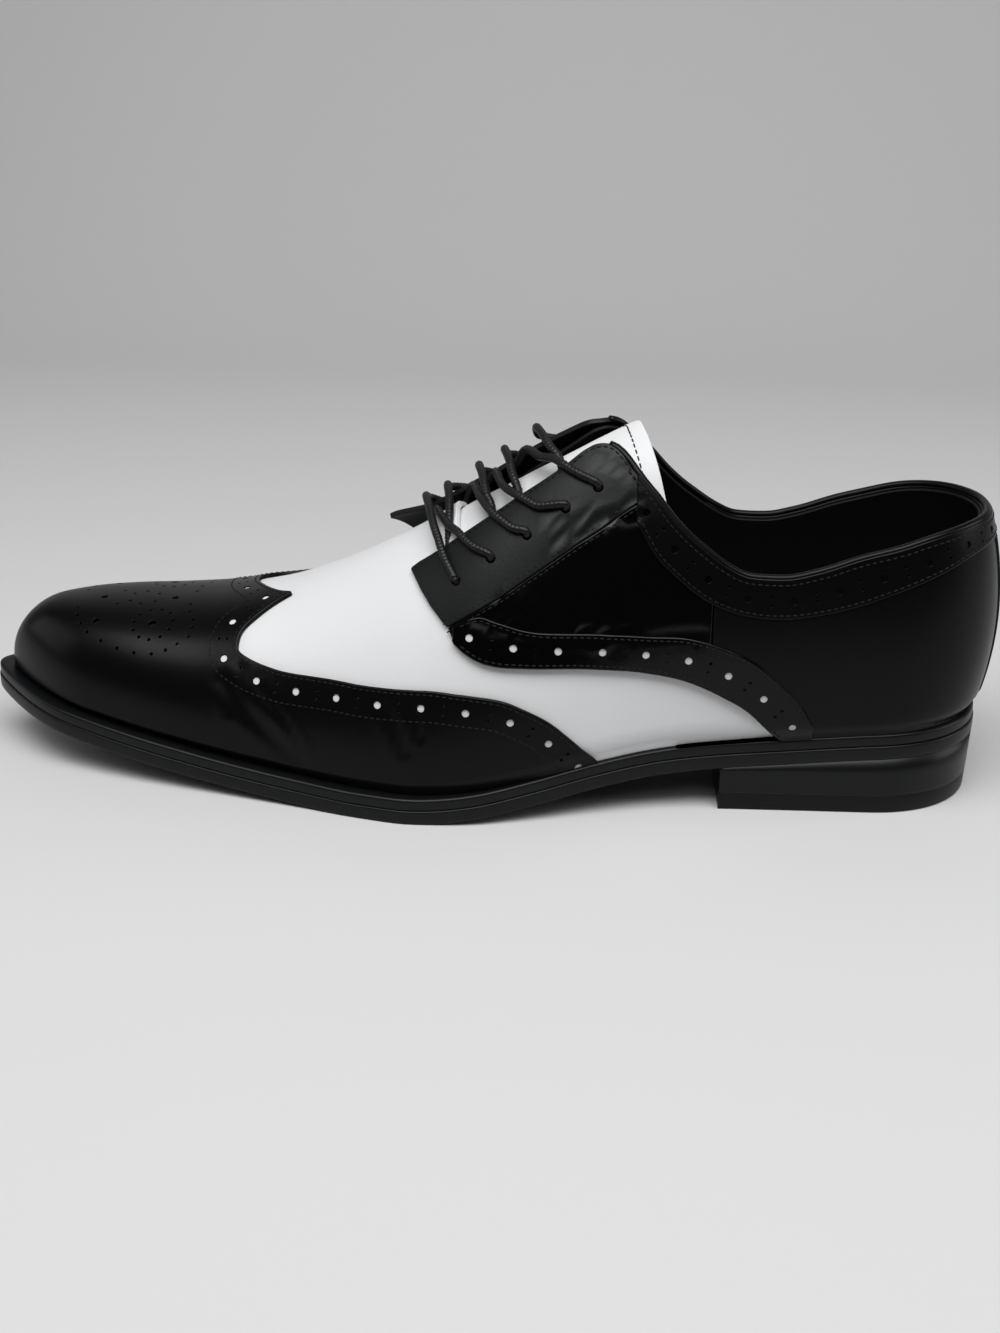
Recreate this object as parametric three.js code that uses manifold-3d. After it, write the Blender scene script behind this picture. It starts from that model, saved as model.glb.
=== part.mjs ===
// Spectator shoe, left foot: a two-tone lace-up dress shoe with a punched wing cap.
// Millimetres, +Z up. The toe points to -X, the outer (lateral) side to -Y. It stands on its sole.
import * as THREE from 'three';
import { mergeVertices } from 'three/addons/utils/BufferGeometryUtils.js';
import Module from 'manifold-3d';

const wasm = await Module();
wasm.setup();

// Driving sizes
const SHOE_LENGTH = 320;
const BALL_WIDTH = 104;
const CREST_HEIGHT = 101;
const SEAT_HEIGHT = 20;
const TOE_SPRING = 17.6;
const OUTSOLE_THICK = 4.5;
const WELT_THICK = 3.7;
const LIFT_THICK = 6;
const HEEL_LENGTH = 82;
const HEEL_TAPER = 0.8;
const INSOLE_THICK = 2.6;
const WALL = 2;
const OVERLAY_THICK = 1.2;
const BAND_THICK = 1;
const TONGUE_THICK = 1.6;
const LACE_DIAMETER = 2.4;
const EYELET_DIAMETER = 4.4;
const GAP = 0.3;
const FACE_TOLERANCE = 0.12;

// Form of the last, in millimetres
const WELT_LEDGE = 5;
const TOE_INSET = 7;
const BACK_INSET = 2;
const TOE_ROUND = 30;
const HEEL_ROUND = 35;
const NOSE_ROUND = 17;
const SIDE_BULGE = 6;
const BACK_SWELL = 20.3;
const BACK_LEAN = 26.5;
const BACK_RISE = 72.4;
const BACK_FADE = 90;
const EDGE_BEVEL = 0.8;
const WELT_STEP = 0.5;
const WELT_WIDTH = 12;
const FLAP_LIFT = 8.2;
const SKIRT = 8;
const SKIRT_UNIT = 100;
const CUT_BELOW = 4;
const CUT_ABOVE = 14;
const TONGUE_CUT = 12;
const EYELET_CUT = 16;

// Exponents of the rounded ends
const TOE_POWER = 2;
const HEEL_POWER = 2.15;
const NOSE_POWER = 2.5;

// Faces along the last and up one side of it
const STATIONS = 30;
const GIRTHS = 6;

// Half widths of the sole, as shares of the ball width
const SOLE = [
  { along: 0, lateral: 0.317, medial: 0.317 },
  { along: 0.10, lateral: 0.321, medial: 0.321 },
  { along: 0.20, lateral: 0.323, medial: 0.312 },
  { along: 0.26, lateral: 0.326, medial: 0.298 },
  { along: 0.32, lateral: 0.348, medial: 0.279 },
  { along: 0.38, lateral: 0.394, medial: 0.269 },
  { along: 0.44, lateral: 0.447, medial: 0.293 },
  { along: 0.50, lateral: 0.484, medial: 0.356 },
  { along: 0.55, lateral: 0.488, medial: 0.418 },
  { along: 0.60, lateral: 0.460, medial: 0.466 },
  { along: 0.66, lateral: 0.409, medial: 0.490 },
  { along: 0.72, lateral: 0.362, medial: 0.484 },
  { along: 0.78, lateral: 0.317, medial: 0.454 },
  { along: 0.84, lateral: 0.269, medial: 0.413 },
  { along: 0.90, lateral: 0.207, medial: 0.359 },
  { along: 0.95, lateral: 0.139, medial: 0.301 },
  { along: 1, lateral: 0.048, medial: 0.212 },
];

// Underside of the sole, as shares of the seat height and of the toe spring
const UNDERSIDE = [
  { along: 0, seat: 1, spring: 0 },
  { along: 0.10, seat: 0.935, spring: 0 },
  { along: 0.20, seat: 0.795, spring: 0 },
  { along: 0.26, seat: 0.705, spring: 0 },
  { along: 0.32, seat: 0.605, spring: 0 },
  { along: 0.38, seat: 0.45, spring: 0 },
  { along: 0.44, seat: 0.25, spring: 0 },
  { along: 0.49, seat: 0.095, spring: 0 },
  { along: 0.53, seat: 0.015, spring: 0 },
  { along: 0.55, seat: 0, spring: 0 },
  { along: 0.60, seat: 0, spring: 0 },
  { along: 0.66, seat: 0, spring: 0.051 },
  { along: 0.72, seat: 0, spring: 0.153 },
  { along: 0.80, seat: 0, spring: 0.352 },
  { along: 0.88, seat: 0, spring: 0.591 },
  { along: 0.94, seat: 0, spring: 0.784 },
  { along: 1, seat: 0, spring: 1 },
];

// Height of the last's crest over the sole, as shares of the crest height
const CREST = [
  { along: 0, rise: 0.974 },
  { along: 0.10, rise: 0.977 },
  { along: 0.20, rise: 0.983 },
  { along: 0.30, rise: 0.996 },
  { along: 0.345, rise: 0.999 },
  { along: 0.38, rise: 0.984 },
  { along: 0.42, rise: 0.933 },
  { along: 0.46, rise: 0.870 },
  { along: 0.50, rise: 0.802 },
  { along: 0.55, rise: 0.700 },
  { along: 0.59, rise: 0.626 },
  { along: 0.625, rise: 0.565 },
  { along: 0.66, rise: 0.506 },
  { along: 0.69, rise: 0.459 },
  { along: 0.72, rise: 0.423 },
  { along: 0.76, rise: 0.382 },
  { along: 0.80, rise: 0.352 },
  { along: 0.86, rise: 0.314 },
  { along: 0.90, rise: 0.283 },
  { along: 0.94, rise: 0.242 },
  { along: 1, rise: 0.150 },
];

// Sections of the last. crest is its sideways place as a share of the ball width, the bulges are shares
// of the side bulge, rise and crown say where the side turns over, and ledge is a share of the welt ledge.
const SECTIONS = [
  { along: 0, crest: 0, outBulge: 0.50, inBulge: 0.50, outRise: 0.34, outCrown: 0.86,
    inRise: 0.34, inCrown: 0.86, ledge: 0.12 },
  { along: 0.10, crest: 0, outBulge: 0.67, inBulge: 0.67, outRise: 0.34, outCrown: 0.84,
    inRise: 0.34, inCrown: 0.84, ledge: 0.10 },
  { along: 0.20, crest: 0, outBulge: 0.67, inBulge: 0.83, outRise: 0.36, outCrown: 0.78,
    inRise: 0.36, inCrown: 0.80, ledge: 0.08 },
  { along: 0.30, crest: 0, outBulge: 0.50, inBulge: 1.00, outRise: 0.40, outCrown: 0.72,
    inRise: 0.42, inCrown: 0.76, ledge: 0.06 },
  { along: 0.38, crest: 0, outBulge: 0.25, inBulge: 1.00, outRise: 0.42, outCrown: 0.66,
    inRise: 0.46, inCrown: 0.74, ledge: 0.12 },
  { along: 0.46, crest: 0.005, outBulge: 0.25, inBulge: 1.00, outRise: 0.42, outCrown: 0.62,
    inRise: 0.46, inCrown: 0.70, ledge: 0.44 },
  { along: 0.54, crest: 0.014, outBulge: 0.25, inBulge: 0.67, outRise: 0.42, outCrown: 0.62,
    inRise: 0.46, inCrown: 0.66, ledge: 0.76 },
  { along: 0.62, crest: 0.029, outBulge: 0.33, inBulge: 0.58, outRise: 0.46, outCrown: 0.64,
    inRise: 0.54, inCrown: 0.70, ledge: 0.92 },
  { along: 0.70, crest: 0.043, outBulge: 0.42, inBulge: 0.50, outRise: 0.54, outCrown: 0.68,
    inRise: 0.62, inCrown: 0.80, ledge: 0.97 },
  { along: 0.80, crest: 0.058, outBulge: 0.42, inBulge: 0.42, outRise: 0.60, outCrown: 0.72,
    inRise: 0.70, inCrown: 0.84, ledge: 1.00 },
  { along: 0.90, crest: 0.072, outBulge: 0.33, inBulge: 0.33, outRise: 0.66, outCrown: 0.76,
    inRise: 0.74, inCrown: 0.84, ledge: 1.04 },
  { along: 1, crest: 0.082, outBulge: 0.25, inBulge: 0.25, outRise: 0.66, outCrown: 0.78,
    inRise: 0.74, inCrown: 0.84, ledge: 1.08 },
];

// Edges of the panels. along is a share of the shoe length, and an edge is a share of the way from the
// feather line, 0, up one side to the crest, 1.
const COLLAR = [
  { along: 0, edge: 0.520 },
  { along: 0.039, edge: 0.515 },
  { along: 0.074, edge: 0.502 },
  { along: 0.107, edge: 0.480 },
  { along: 0.138, edge: 0.453 },
  { along: 0.179, edge: 0.423 },
  { along: 0.209, edge: 0.410 },
  { along: 0.240, edge: 0.413 },
  { along: 0.261, edge: 0.435 },
  { along: 0.282, edge: 0.472 },
  { along: 0.301, edge: 0.514 },
  { along: 0.317, edge: 0.562 },
  { along: 0.330, edge: 0.612 },
  { along: 0.338, edge: 0.640 },
  { along: 0.349, edge: 0.688 },
  { along: 0.360, edge: 0.744 },
  { along: 0.369, edge: 0.780 },
  { along: 0.380, edge: 0.802 },
  { along: 0.391, edge: 0.809 },
  { along: 0.402, edge: 0.798 },
  { along: 0.420, edge: 0.786 },
  { along: 0.461, edge: 0.778 },
  { along: 0.517, edge: 0.764 },
  { along: 0.548, edge: 0.760 },
  { along: 0.600, edge: 0.750 },
];
const FACING_EDGE = [
  { along: 0.332, edge: 0.609 },
  { along: 0.338, edge: 0.603 },
  { along: 0.349, edge: 0.590 },
  { along: 0.360, edge: 0.576 },
  { along: 0.380, edge: 0.551 },
  { along: 0.425, edge: 0.527 },
  { along: 0.469, edge: 0.505 },
  { along: 0.518, edge: 0.490 },
  { along: 0.524, edge: 0.517 },
  { along: 0.536, edge: 0.584 },
  { along: 0.546, edge: 0.654 },
  { along: 0.557, edge: 0.740 },
];
const COLLAR_BAND = [
  { along: 0, low: 0.466 },
  { along: 0.032, low: 0.451 },
  { along: 0.070, low: 0.412 },
  { along: 0.108, low: 0.374 },
  { along: 0.145, low: 0.344 },
  { along: 0.182, low: 0.325 },
  { along: 0.207, low: 0.319 },
  { along: 0.233, low: 0.322 },
  { along: 0.259, low: 0.336 },
  { along: 0.286, low: 0.368 },
  { along: 0.307, low: 0.410 },
  { along: 0.332, low: 0.477 },
  { along: 0.349, low: 0.560 },
];
const LOWER_BAND = [
  { along: 0.171, low: -0.10, high: 0.041 },
  { along: 0.188, low: -0.05, high: 0.117 },
  { along: 0.207, low: 0.014, high: 0.169 },
  { along: 0.232, low: 0.088, high: 0.220 },
  { along: 0.262, low: 0.138, high: 0.253 },
  { along: 0.292, low: 0.174, high: 0.275 },
  { along: 0.336, low: 0.207, high: 0.289 },
  { along: 0.373, low: 0.231, high: 0.310 },
  { along: 0.410, low: 0.264, high: 0.345 },
  { along: 0.448, low: 0.302, high: 0.394 },
  { along: 0.474, low: 0.335, high: 0.448 },
  { along: 0.489, low: 0.363, high: 0.480 },
  { along: 0.504, low: 0.406, high: 0.486 },
  { along: 0.513, low: 0.441, high: 0.487 },
];

// Rear edge of the wing cap. over is -1 on the outer feather line, 0 on the crest and 1 on the inner one.
const WING = [
  { over: -1, along: 0.373 },
  { over: -0.955, along: 0.388 },
  { over: -0.900, along: 0.406 },
  { over: -0.849, along: 0.424 },
  { over: -0.803, along: 0.445 },
  { over: -0.757, along: 0.468 },
  { over: -0.705, along: 0.507 },
  { over: -0.658, along: 0.547 },
  { over: -0.626, along: 0.593 },
  { over: -0.590, along: 0.631 },
  { over: -0.563, along: 0.667 },
  { over: -0.523, along: 0.696 },
  { over: -0.476, along: 0.717 },
  { over: -0.424, along: 0.727 },
  { over: -0.325, along: 0.724 },
  { over: -0.252, along: 0.713 },
  { over: -0.148, along: 0.690 },
  { over: -0.118, along: 0.680 },
  { over: -0.088, along: 0.690 },
  { over: 0.016, along: 0.713 },
  { over: 0.090, along: 0.724 },
  { over: 0.190, along: 0.727 },
  { over: 0.250, along: 0.719 },
  { over: 0.310, along: 0.700 },
  { over: 0.360, along: 0.672 },
  { over: 0.410, along: 0.638 },
  { over: 0.465, along: 0.598 },
  { over: 0.530, along: 0.552 },
  { over: 0.610, along: 0.508 },
  { over: 0.700, along: 0.466 },
  { over: 0.770, along: 0.441 },
  { over: 0.835, along: 0.420 },
  { over: 0.895, along: 0.402 },
  { over: 0.952, along: 0.386 },
  { over: 1, along: 0.373 },
];

// Lift of the inner facing's throat edge, which has curled up: a share of the flap's lift
const FLAP = [
  { along: 0.380, lift: 0 },
  { along: 0.405, lift: 0.28 },
  { along: 0.440, lift: 0.48 },
  { along: 0.480, lift: 0.50 },
  { along: 0.534, lift: 0.66 },
  { along: 0.590, lift: 1 },
  { along: 0.700, lift: 1 },
  { along: 0.780, lift: 0 },
  { along: 1, lift: 0 },
];

// Eyelets, on the facings of both sides
const EYELETS = [
  { along: 0.511, edge: 0.614 },
  { along: 0.479, edge: 0.626 },
  { along: 0.446, edge: 0.634 },
  { along: 0.411, edge: 0.649 },
  { along: 0.382, edge: 0.664 },
];

const OUT = -1;
const IN = 1;

// A smooth curve through one column of a table, level at each turning point
function curve(rows, x, y) {
  const slope = rows.slice(1).map((row, i) => (row[y] - rows[i][y]) / (row[x] - rows[i][x]));
  const lean = rows.map((row, i) => {
    if (i === 0) return slope[0];
    if (i === rows.length - 1) return slope[i - 1];
    const before = slope[i - 1];
    const after = slope[i];
    if (before * after <= 0) return 0;
    const back = row[x] - rows[i - 1][x];
    const ahead = rows[i + 1][x] - row[x];
    const mean = (before * ahead + after * back) / (back + ahead);
    return Math.sign(mean) * Math.min(Math.abs(mean), 3 * Math.abs(before), 3 * Math.abs(after));
  });
  return (at) => {
    const value = Math.min(Math.max(at, rows[0][x]), rows[rows.length - 1][x]);
    let i = 0;
    while (i < rows.length - 2 && value > rows[i + 1][x]) i += 1;
    const span = rows[i + 1][x] - rows[i][x];
    const t = (value - rows[i][x]) / span;
    const u = 1 - t;
    return (1 + 2 * t) * u * u * rows[i][y] + t * u * u * span * lean[i]
      + t * t * (3 - 2 * t) * rows[i + 1][y] - t * t * u * span * lean[i + 1];
  };
}

const outWidth = curve(SOLE, 'along', 'lateral');
const inWidth = curve(SOLE, 'along', 'medial');
const seatShare = curve(UNDERSIDE, 'along', 'seat');
const springShare = curve(UNDERSIDE, 'along', 'spring');
const crestRise = curve(CREST, 'along', 'rise');
const section = {};
for (const name of Object.keys(SECTIONS[0])) {
  if (name !== 'along') section[name] = curve(SECTIONS, 'along', name);
}
const collar = curve(COLLAR, 'along', 'edge');
const facingEdge = curve(FACING_EDGE, 'along', 'edge');
const collarBandLow = curve(COLLAR_BAND, 'along', 'low');
const lowerBandLow = curve(LOWER_BAND, 'along', 'low');
const lowerBandHigh = curve(LOWER_BAND, 'along', 'high');
const wingEdge = curve(WING, 'over', 'along');
const flapRise = curve(FLAP, 'along', 'lift');

const clamp = (value) => Math.min(Math.max(value, 0), 1);
const mix = (a, b, t) => a + (b - a) * t;
const smooth = (value) => clamp(value) ** 2 * (3 - 2 * clamp(value));

// Rounded end of an outline: 0 at the end and 1 once depth passes the radius
function rounded(depth, radius, power) {
  return (1 - (1 - clamp(depth / radius)) ** power) ** (1 / power);
}

const soleUnder = (along) => seatShare(along) * SEAT_HEIGHT + springShare(along) * TOE_SPRING;
const soleTop = (along) => soleUnder(along) + OUTSOLE_THICK + WELT_THICK;

// Stations crowd towards both ends, where the outline turns
const crowd = (share) => 0.85 * (1 - Math.cos(Math.PI * share)) / 2 + 0.15 * share;
function uncrowd(place) {
  if (place <= 0 || place >= 1) return clamp(place);
  let low = 0;
  let high = 1;
  for (let i = 0; i < 40; i += 1) {
    const mid = (low + high) / 2;
    if (crowd(mid) < place) low = mid;
    else high = mid;
  }
  return (low + high) / 2;
}

// Point of an outline drawn inside the sole's edge, at a share of the way from heel to toe
function footprint(share, side, inset) {
  const s = mix(inset.back, inset.end ?? SHOE_LENGTH - inset.toe, crowd(share));
  const along = s / SHOE_LENGTH;
  const out = outWidth(along) * BALL_WIDTH;
  const inn = inWidth(along) * BALL_WIDTH;
  const toe = inset.end === undefined ? rounded(SHOE_LENGTH - inset.toe - s, TOE_ROUND, TOE_POWER) : 1;
  const end = toe * rounded(s - inset.back, HEEL_ROUND, HEEL_POWER);
  const half = (out + inn) / 2 - inset.side(along);
  return { s, along, middle: (inn - out) / 2, end, y: (inn - out) / 2 + side * half * end };
}

const FEATHER = { back: BACK_INSET, toe: TOE_INSET, side: (along) => section.ledge(along) * WELT_LEDGE };

// Point of the last: share runs from heel to toe, girth from the feather line, 0, to the crest, 1.
// A girth below 0 runs straight down from the feather line.
function lastPoint(share, side, girth) {
  const foot = footprint(share, side, FEATHER);
  const up = Math.max(girth, 0);
  const down = 1 - up;
  const bulge = (side === OUT ? section.outBulge : section.inBulge)(foot.along) * SIDE_BULGE * foot.end;
  const rise = (side === OUT ? section.outRise : section.inRise)(foot.along);
  const crown = (side === OUT ? section.outCrown : section.inCrown)(foot.along);
  const nose = rounded(SHOE_LENGTH - TOE_INSET - foot.s, NOSE_ROUND, NOSE_POWER);
  const height = crestRise(foot.along) * CREST_HEIGHT * nose;
  const ridge = mix(foot.middle, section.crest(foot.along) * BALL_WIDTH, foot.end);
  const shoulder = mix(ridge, foot.y, crown);
  const weight = [down ** 3, 3 * up * down ** 2, 3 * up ** 2 * down, up ** 3];
  const y = weight[0] * foot.y + weight[1] * (foot.y + side * bulge) + weight[2] * shoulder
    + weight[3] * ridge;
  const lift = height * (weight[1] * rise + weight[2] + weight[3]);
  const climb = Math.min(lift / BACK_RISE, 1.2);
  const swell = (BACK_SWELL * climb - BACK_LEAN * climb * climb) * clamp(1 - foot.s / BACK_FADE) ** 2;
  const drop = Math.min(girth, 0) * SKIRT_UNIT;
  return new THREE.Vector3(foot.s - swell, y, soleTop(foot.along) + lift + drop);
}

// Outward normal of the last. It is level with the ground below the feather line.
function lastNormal(share, side, girth) {
  const step = 0.002;
  const g = Math.min(Math.max(girth, step), 1 - step / 2);
  const up = lastPoint(share, side, g + step / 2).sub(lastPoint(share, side, g - step / 2));
  if (share < step) return new THREE.Vector3(-up.z, 0, up.x).normalize();
  if (share > 1 - step) return new THREE.Vector3(1, 0, 0);
  const ahead = lastPoint(share + step / 2, side, g).sub(lastPoint(share - step / 2, side, g));
  const normal = new THREE.Vector3().crossVectors(up, ahead).multiplyScalar(side);
  if (girth <= 0) normal.z = 0;
  if (girth >= 1) normal.y = 0;
  return normal.normalize();
}

function offsetPoint(share, side, girth, offset) {
  const point = lastPoint(share, side, girth);
  return point.addScaledVector(lastNormal(share, side, girth), offset);
}

// Closed mesh from points and faces: it merges equal points and drops empty faces
function closedMesh(points, faces) {
  const raw = new THREE.BufferGeometry();
  raw.setAttribute('position', new THREE.Float32BufferAttribute(points.flatMap((p) => [p.x, p.y, p.z]), 3));
  raw.setIndex(faces.flat());
  const merged = mergeVertices(raw, 1e-3);
  const index = merged.index.array;
  const kept = [];
  for (let i = 0; i < index.length; i += 3) {
    const [a, b, c] = [index[i], index[i + 1], index[i + 2]];
    if (a !== b && b !== c && c !== a) kept.push(a, b, c);
  }
  merged.setIndex(kept);
  return merged;
}

function solid(geometry) {
  const mesh = new wasm.Mesh({
    numProp: 3,
    vertProperties: new Float32Array(geometry.attributes.position.array),
    triVerts: new Uint32Array(geometry.index.array),
  });
  const made = new wasm.Manifold(mesh);
  return made.volume() < 0 ? flipped(geometry) : made;
}

function flipped(geometry) {
  const turned = geometry.clone();
  const index = Array.from(geometry.index.array);
  for (let i = 0; i < index.length; i += 3) [index[i], index[i + 1]] = [index[i + 1], index[i]];
  turned.setIndex(index);
  return solid(turned);
}

function geometryOf(manifold) {
  const mesh = manifold.getMesh();
  const geometry = new THREE.BufferGeometry();
  geometry.setAttribute('position', new THREE.Float32BufferAttribute(mesh.vertProperties, mesh.numProp));
  geometry.setIndex(Array.from(mesh.triVerts));
  return geometry;
}

// Solid through rings of equal point counts. An end ring that has shrunk to a line needs no cap.
function loft(rings, capped = []) {
  const count = rings[0].length;
  const faces = [];
  for (let i = 0; i < rings.length - 1; i += 1) {
    for (let j = 0; j < count; j += 1) {
      const a = i * count + j;
      const b = i * count + ((j + 1) % count);
      faces.push([a, b, b + count], [a, b + count, a + count]);
    }
  }
  if (capped.includes('first')) {
    for (let j = 1; j < count - 1; j += 1) faces.push([0, j + 1, j]);
  }
  if (capped.includes('last')) {
    const base = (rings.length - 1) * count;
    for (let j = 1; j < count - 1; j += 1) faces.push([base, base + j, base + j + 1]);
  }
  return solid(closedMesh(rings.flat(), faces));
}

const stations = Array.from({ length: STATIONS + 1 }, (_, i) => i / STATIONS);
const girths = Array.from({ length: GIRTHS + 1 }, (_, i) => i / GIRTHS);
const SKIRT_GIRTH = -SKIRT / SKIRT_UNIT;

// The whole last, grown or shrunk by an offset, with a skirt below the feather line
function lastForm(offset, lift = () => 0) {
  const rings = stations.map((share) => {
    const at = (side) => (girth) => offsetPoint(share, side, girth, offset + lift(share, side, girth));
    const outer = [SKIRT_GIRTH, ...girths].map(at(OUT));
    const inner = [...girths.slice(0, -1)].reverse().concat(SKIRT_GIRTH).map(at(IN));
    return [...outer, ...inner];
  });
  return loft(rings);
}

// Everything below the top of the sole, raised by the clearance
function soleBed() {
  const reach = BALL_WIDTH;
  const rings = [-0.2, ...stations.map((share) => footprint(share, OUT, FEATHER).along), 1.2].map((along) => {
    const s = along * SHOE_LENGTH;
    const z = soleTop(along) + GAP;
    return [[-reach, -reach], [reach, -reach], [reach, z], [-reach, z]]
      .map(([y, height]) => new THREE.Vector3(s, y, height));
  });
  return loft(rings, ['first', 'last']);
}

// Block over a patch of the last, from one offset to another. place gives share, side and girth.
function patch(rows, columns, place, low, high, closedEnds = []) {
  const points = [];
  const faces = [];
  const count = columns + 1;
  for (const offset of [low, high]) {
    for (let i = 0; i <= rows; i += 1) {
      for (let j = 0; j <= columns; j += 1) {
        const at = place(i / rows, j / columns);
        points.push(offsetPoint(at.share, at.side, at.girth, offset));
      }
    }
  }
  const top = (rows + 1) * count;
  const quad = (a, b, c, d) => faces.push([a, b, c], [a, c, d]);
  for (let i = 0; i < rows; i += 1) {
    for (let j = 0; j < columns; j += 1) {
      const a = i * count + j;
      quad(a, a + 1, a + count + 1, a + count);
      quad(top + a, top + a + count, top + a + count + 1, top + a + 1);
    }
    const left = i * count;
    const right = left + columns;
    quad(left, left + count, top + left + count, top + left);
    quad(right, top + right, top + right + count, right + count);
  }
  for (let j = 0; j < columns; j += 1) {
    const last = rows * count + j;
    if (!closedEnds.includes('first')) quad(j, top + j, top + j + 1, j + 1);
    if (!closedEnds.includes('last')) quad(last, last + 1, top + last + 1, top + last);
  }
  return solid(closedMesh(points, faces));
}

const shareAt = (along) => uncrowd(clamp((along * SHOE_LENGTH - BACK_INSET)
  / (SHOE_LENGTH - TOE_INSET - BACK_INSET)));
const CUT_LOW = -CUT_BELOW;
const CUT_HIGH = CUT_ABOVE;
const PANEL_STEPS = 13;

// Region of one side between two edges, from one place along the shoe to another
function sideRegion(side, from, to, low, high) {
  return patch(PANEL_STEPS, 4, (i, j) => {
    const along = mix(from, to, i);
    return { share: shareAt(along), side, girth: mix(low(along), high(along), j) };
  }, CUT_LOW, CUT_HIGH);
}

// Region that runs round the heel, as far forward on both sides
function heelRegion(reach, low, high) {
  return patch(2 * PANEL_STEPS, 4, (i, j) => {
    const along = Math.abs(2 * i - 1) * reach;
    const side = i < 0.5 ? OUT : IN;
    return { share: shareAt(along), side, girth: mix(low(along), high(along), j) };
  }, CUT_LOW, CUT_HIGH);
}

// Region over the crest between the edges of both sides
function crestRegion(from, to, edge, low, high, closedEnds) {
  return patch(2 * PANEL_STEPS, 8, (i, j) => {
    const along = mix(from, to, i);
    const over = (2 * j - 1) * (1 - edge(along));
    return { share: shareAt(along), side: over <= 0 ? OUT : IN, girth: 1 - Math.abs(over) };
  }, low, high, closedEnds);
}

// Layers over the bare wall of the upper
const LAYER_ONE = GAP;
const LAYER_ONE_TOP = GAP + OVERLAY_THICK;
const LAYER_TWO = LAYER_ONE_TOP + GAP;
const LAYER_TWO_TOP = LAYER_TWO + BAND_THICK;
const TONGUE_TOP = -WALL - GAP;

const bed = soleBed();
const layerOne = lastForm(LAYER_ONE_TOP).subtract(lastForm(LAYER_ONE)).subtract(bed);
const layerTwo = lastForm(LAYER_TWO_TOP).subtract(lastForm(LAYER_TWO)).subtract(bed);

// Small shares that keep butted panels apart
const SEAM_ALONG = 0.0012;
const SEAM_GIRTH = 0.004;
const COUNTER_SEAM = 0.272;
const VAMP_EDGE = 0.515;
const FACING_REAR = 0.332;
const FACING_TIP = 0.557;
const FLAP_AHEAD = 0.03;
const BELOW = SKIRT_GIRTH / 2;

function upper() {
  const throat = crestRegion(0, VAMP_EDGE, collar, CUT_LOW, CUT_HIGH, ['first']);
  let wall = lastForm(0).subtract(lastForm(-WALL)).subtract(bed).subtract(throat);
  for (const hole of eyeletHoles()) wall = wall.subtract(hole);
  return wall;
}

function wingCap() {
  const region = patch(8, 48, (i, j) => {
    const over = (2 * j - 1) * (1 - BELOW);
    const side = over <= 0 ? OUT : IN;
    const rear = shareAt(wingEdge(over));
    return { share: mix(rear, 1, i), side, girth: 1 - Math.abs(over) };
  }, CUT_LOW, CUT_HIGH, ['last']);
  return layerOne.intersect(region);
}

function quarter(side) {
  const low = (along) => lowerBandLow(along) + SEAM_GIRTH;
  const top = (along) => (along < FACING_REAR ? collar(along) : facingEdge(along) - SEAM_GIRTH);
  const region = sideRegion(side, COUNTER_SEAM + SEAM_ALONG, 0.516, low, (along) => Math.max(top(along), low(along)));
  return layerOne.intersect(region);
}

function counter() {
  const low = (along) => (along < LOWER_BAND[2].along ? BELOW : lowerBandLow(along) + SEAM_GIRTH);
  return layerOne.intersect(heelRegion(COUNTER_SEAM, low, collar));
}

// The inner facing's front corner has curled up off the vamp
function flapLift(share, side, girth) {
  if (side === OUT) return 0;
  const along = footprint(share, side, FEATHER).along;
  return FLAP_LIFT * flapRise(along) * smooth((girth - 0.5) / 0.26) * smooth((1 - girth) / 0.12);
}

function facing(side) {
  const ahead = side === IN ? FLAP_AHEAD : 0;
  const stretch = (along) => along - ahead * smooth((along - 0.45) / 0.14);
  const low = (along) => facingEdge(stretch(along)) + SEAM_GIRTH;
  const high = (along) => Math.max(collar(stretch(along)), low(along) + SEAM_GIRTH);
  const region = sideRegion(side, FACING_REAR, FACING_TIP + ahead, low, high);
  const skin = side === OUT ? layerOne
    : lastForm(LAYER_ONE_TOP, flapLift).subtract(lastForm(LAYER_ONE, flapLift));
  let piece = skin.intersect(region);
  for (const hole of eyeletHoles()) piece = piece.subtract(hole);
  return piece;
}

function collarBand() {
  return layerTwo.intersect(heelRegion(0.349, collarBandLow, collar));
}

function lowerBand(side) {
  return layerTwo.intersect(sideRegion(side, 0.171, 0.513, lowerBandLow, lowerBandHigh));
}

function backstay() {
  return layerTwo.intersect(heelRegion(0.012, () => BELOW, (along) => collarBandLow(along) - 2 * SEAM_GIRTH));
}

const TONGUE_TOP_END = 0.340;
const TONGUE_FRONT_END = 0.56;
const TONGUE_EDGE = 0.6;

function tongue() {
  const region = crestRegion(TONGUE_TOP_END, TONGUE_FRONT_END, () => TONGUE_EDGE, -TONGUE_CUT, GAP, []);
  return lastForm(TONGUE_TOP).subtract(lastForm(TONGUE_TOP - TONGUE_THICK)).intersect(region);
}

// Ring of a flat piece of the sole: pairs of inset and height, mirrored to the other side
function soleRing(share, profile) {
  const point = (side) => ({ inset, height }) => {
    const shape = { back: inset, toe: inset, side: () => inset };
    const foot = footprint(share, side, shape);
    return new THREE.Vector3(foot.s, foot.y, soleUnder(foot.along) + height);
  };
  return [...profile.map(point(OUT)), ...[...profile].reverse().map(point(IN))];
}

function outsole() {
  const profile = [
    { inset: EDGE_BEVEL, height: 0 },
    { inset: 0, height: EDGE_BEVEL },
    { inset: 0, height: OUTSOLE_THICK - EDGE_BEVEL / 2 },
    { inset: EDGE_BEVEL / 2, height: OUTSOLE_THICK },
    { inset: WELT_WIDTH + GAP, height: OUTSOLE_THICK },
    { inset: WELT_WIDTH + GAP, height: OUTSOLE_THICK + WELT_THICK },
  ];
  return loft(stations.map((share) => soleRing(share, profile)));
}

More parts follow.
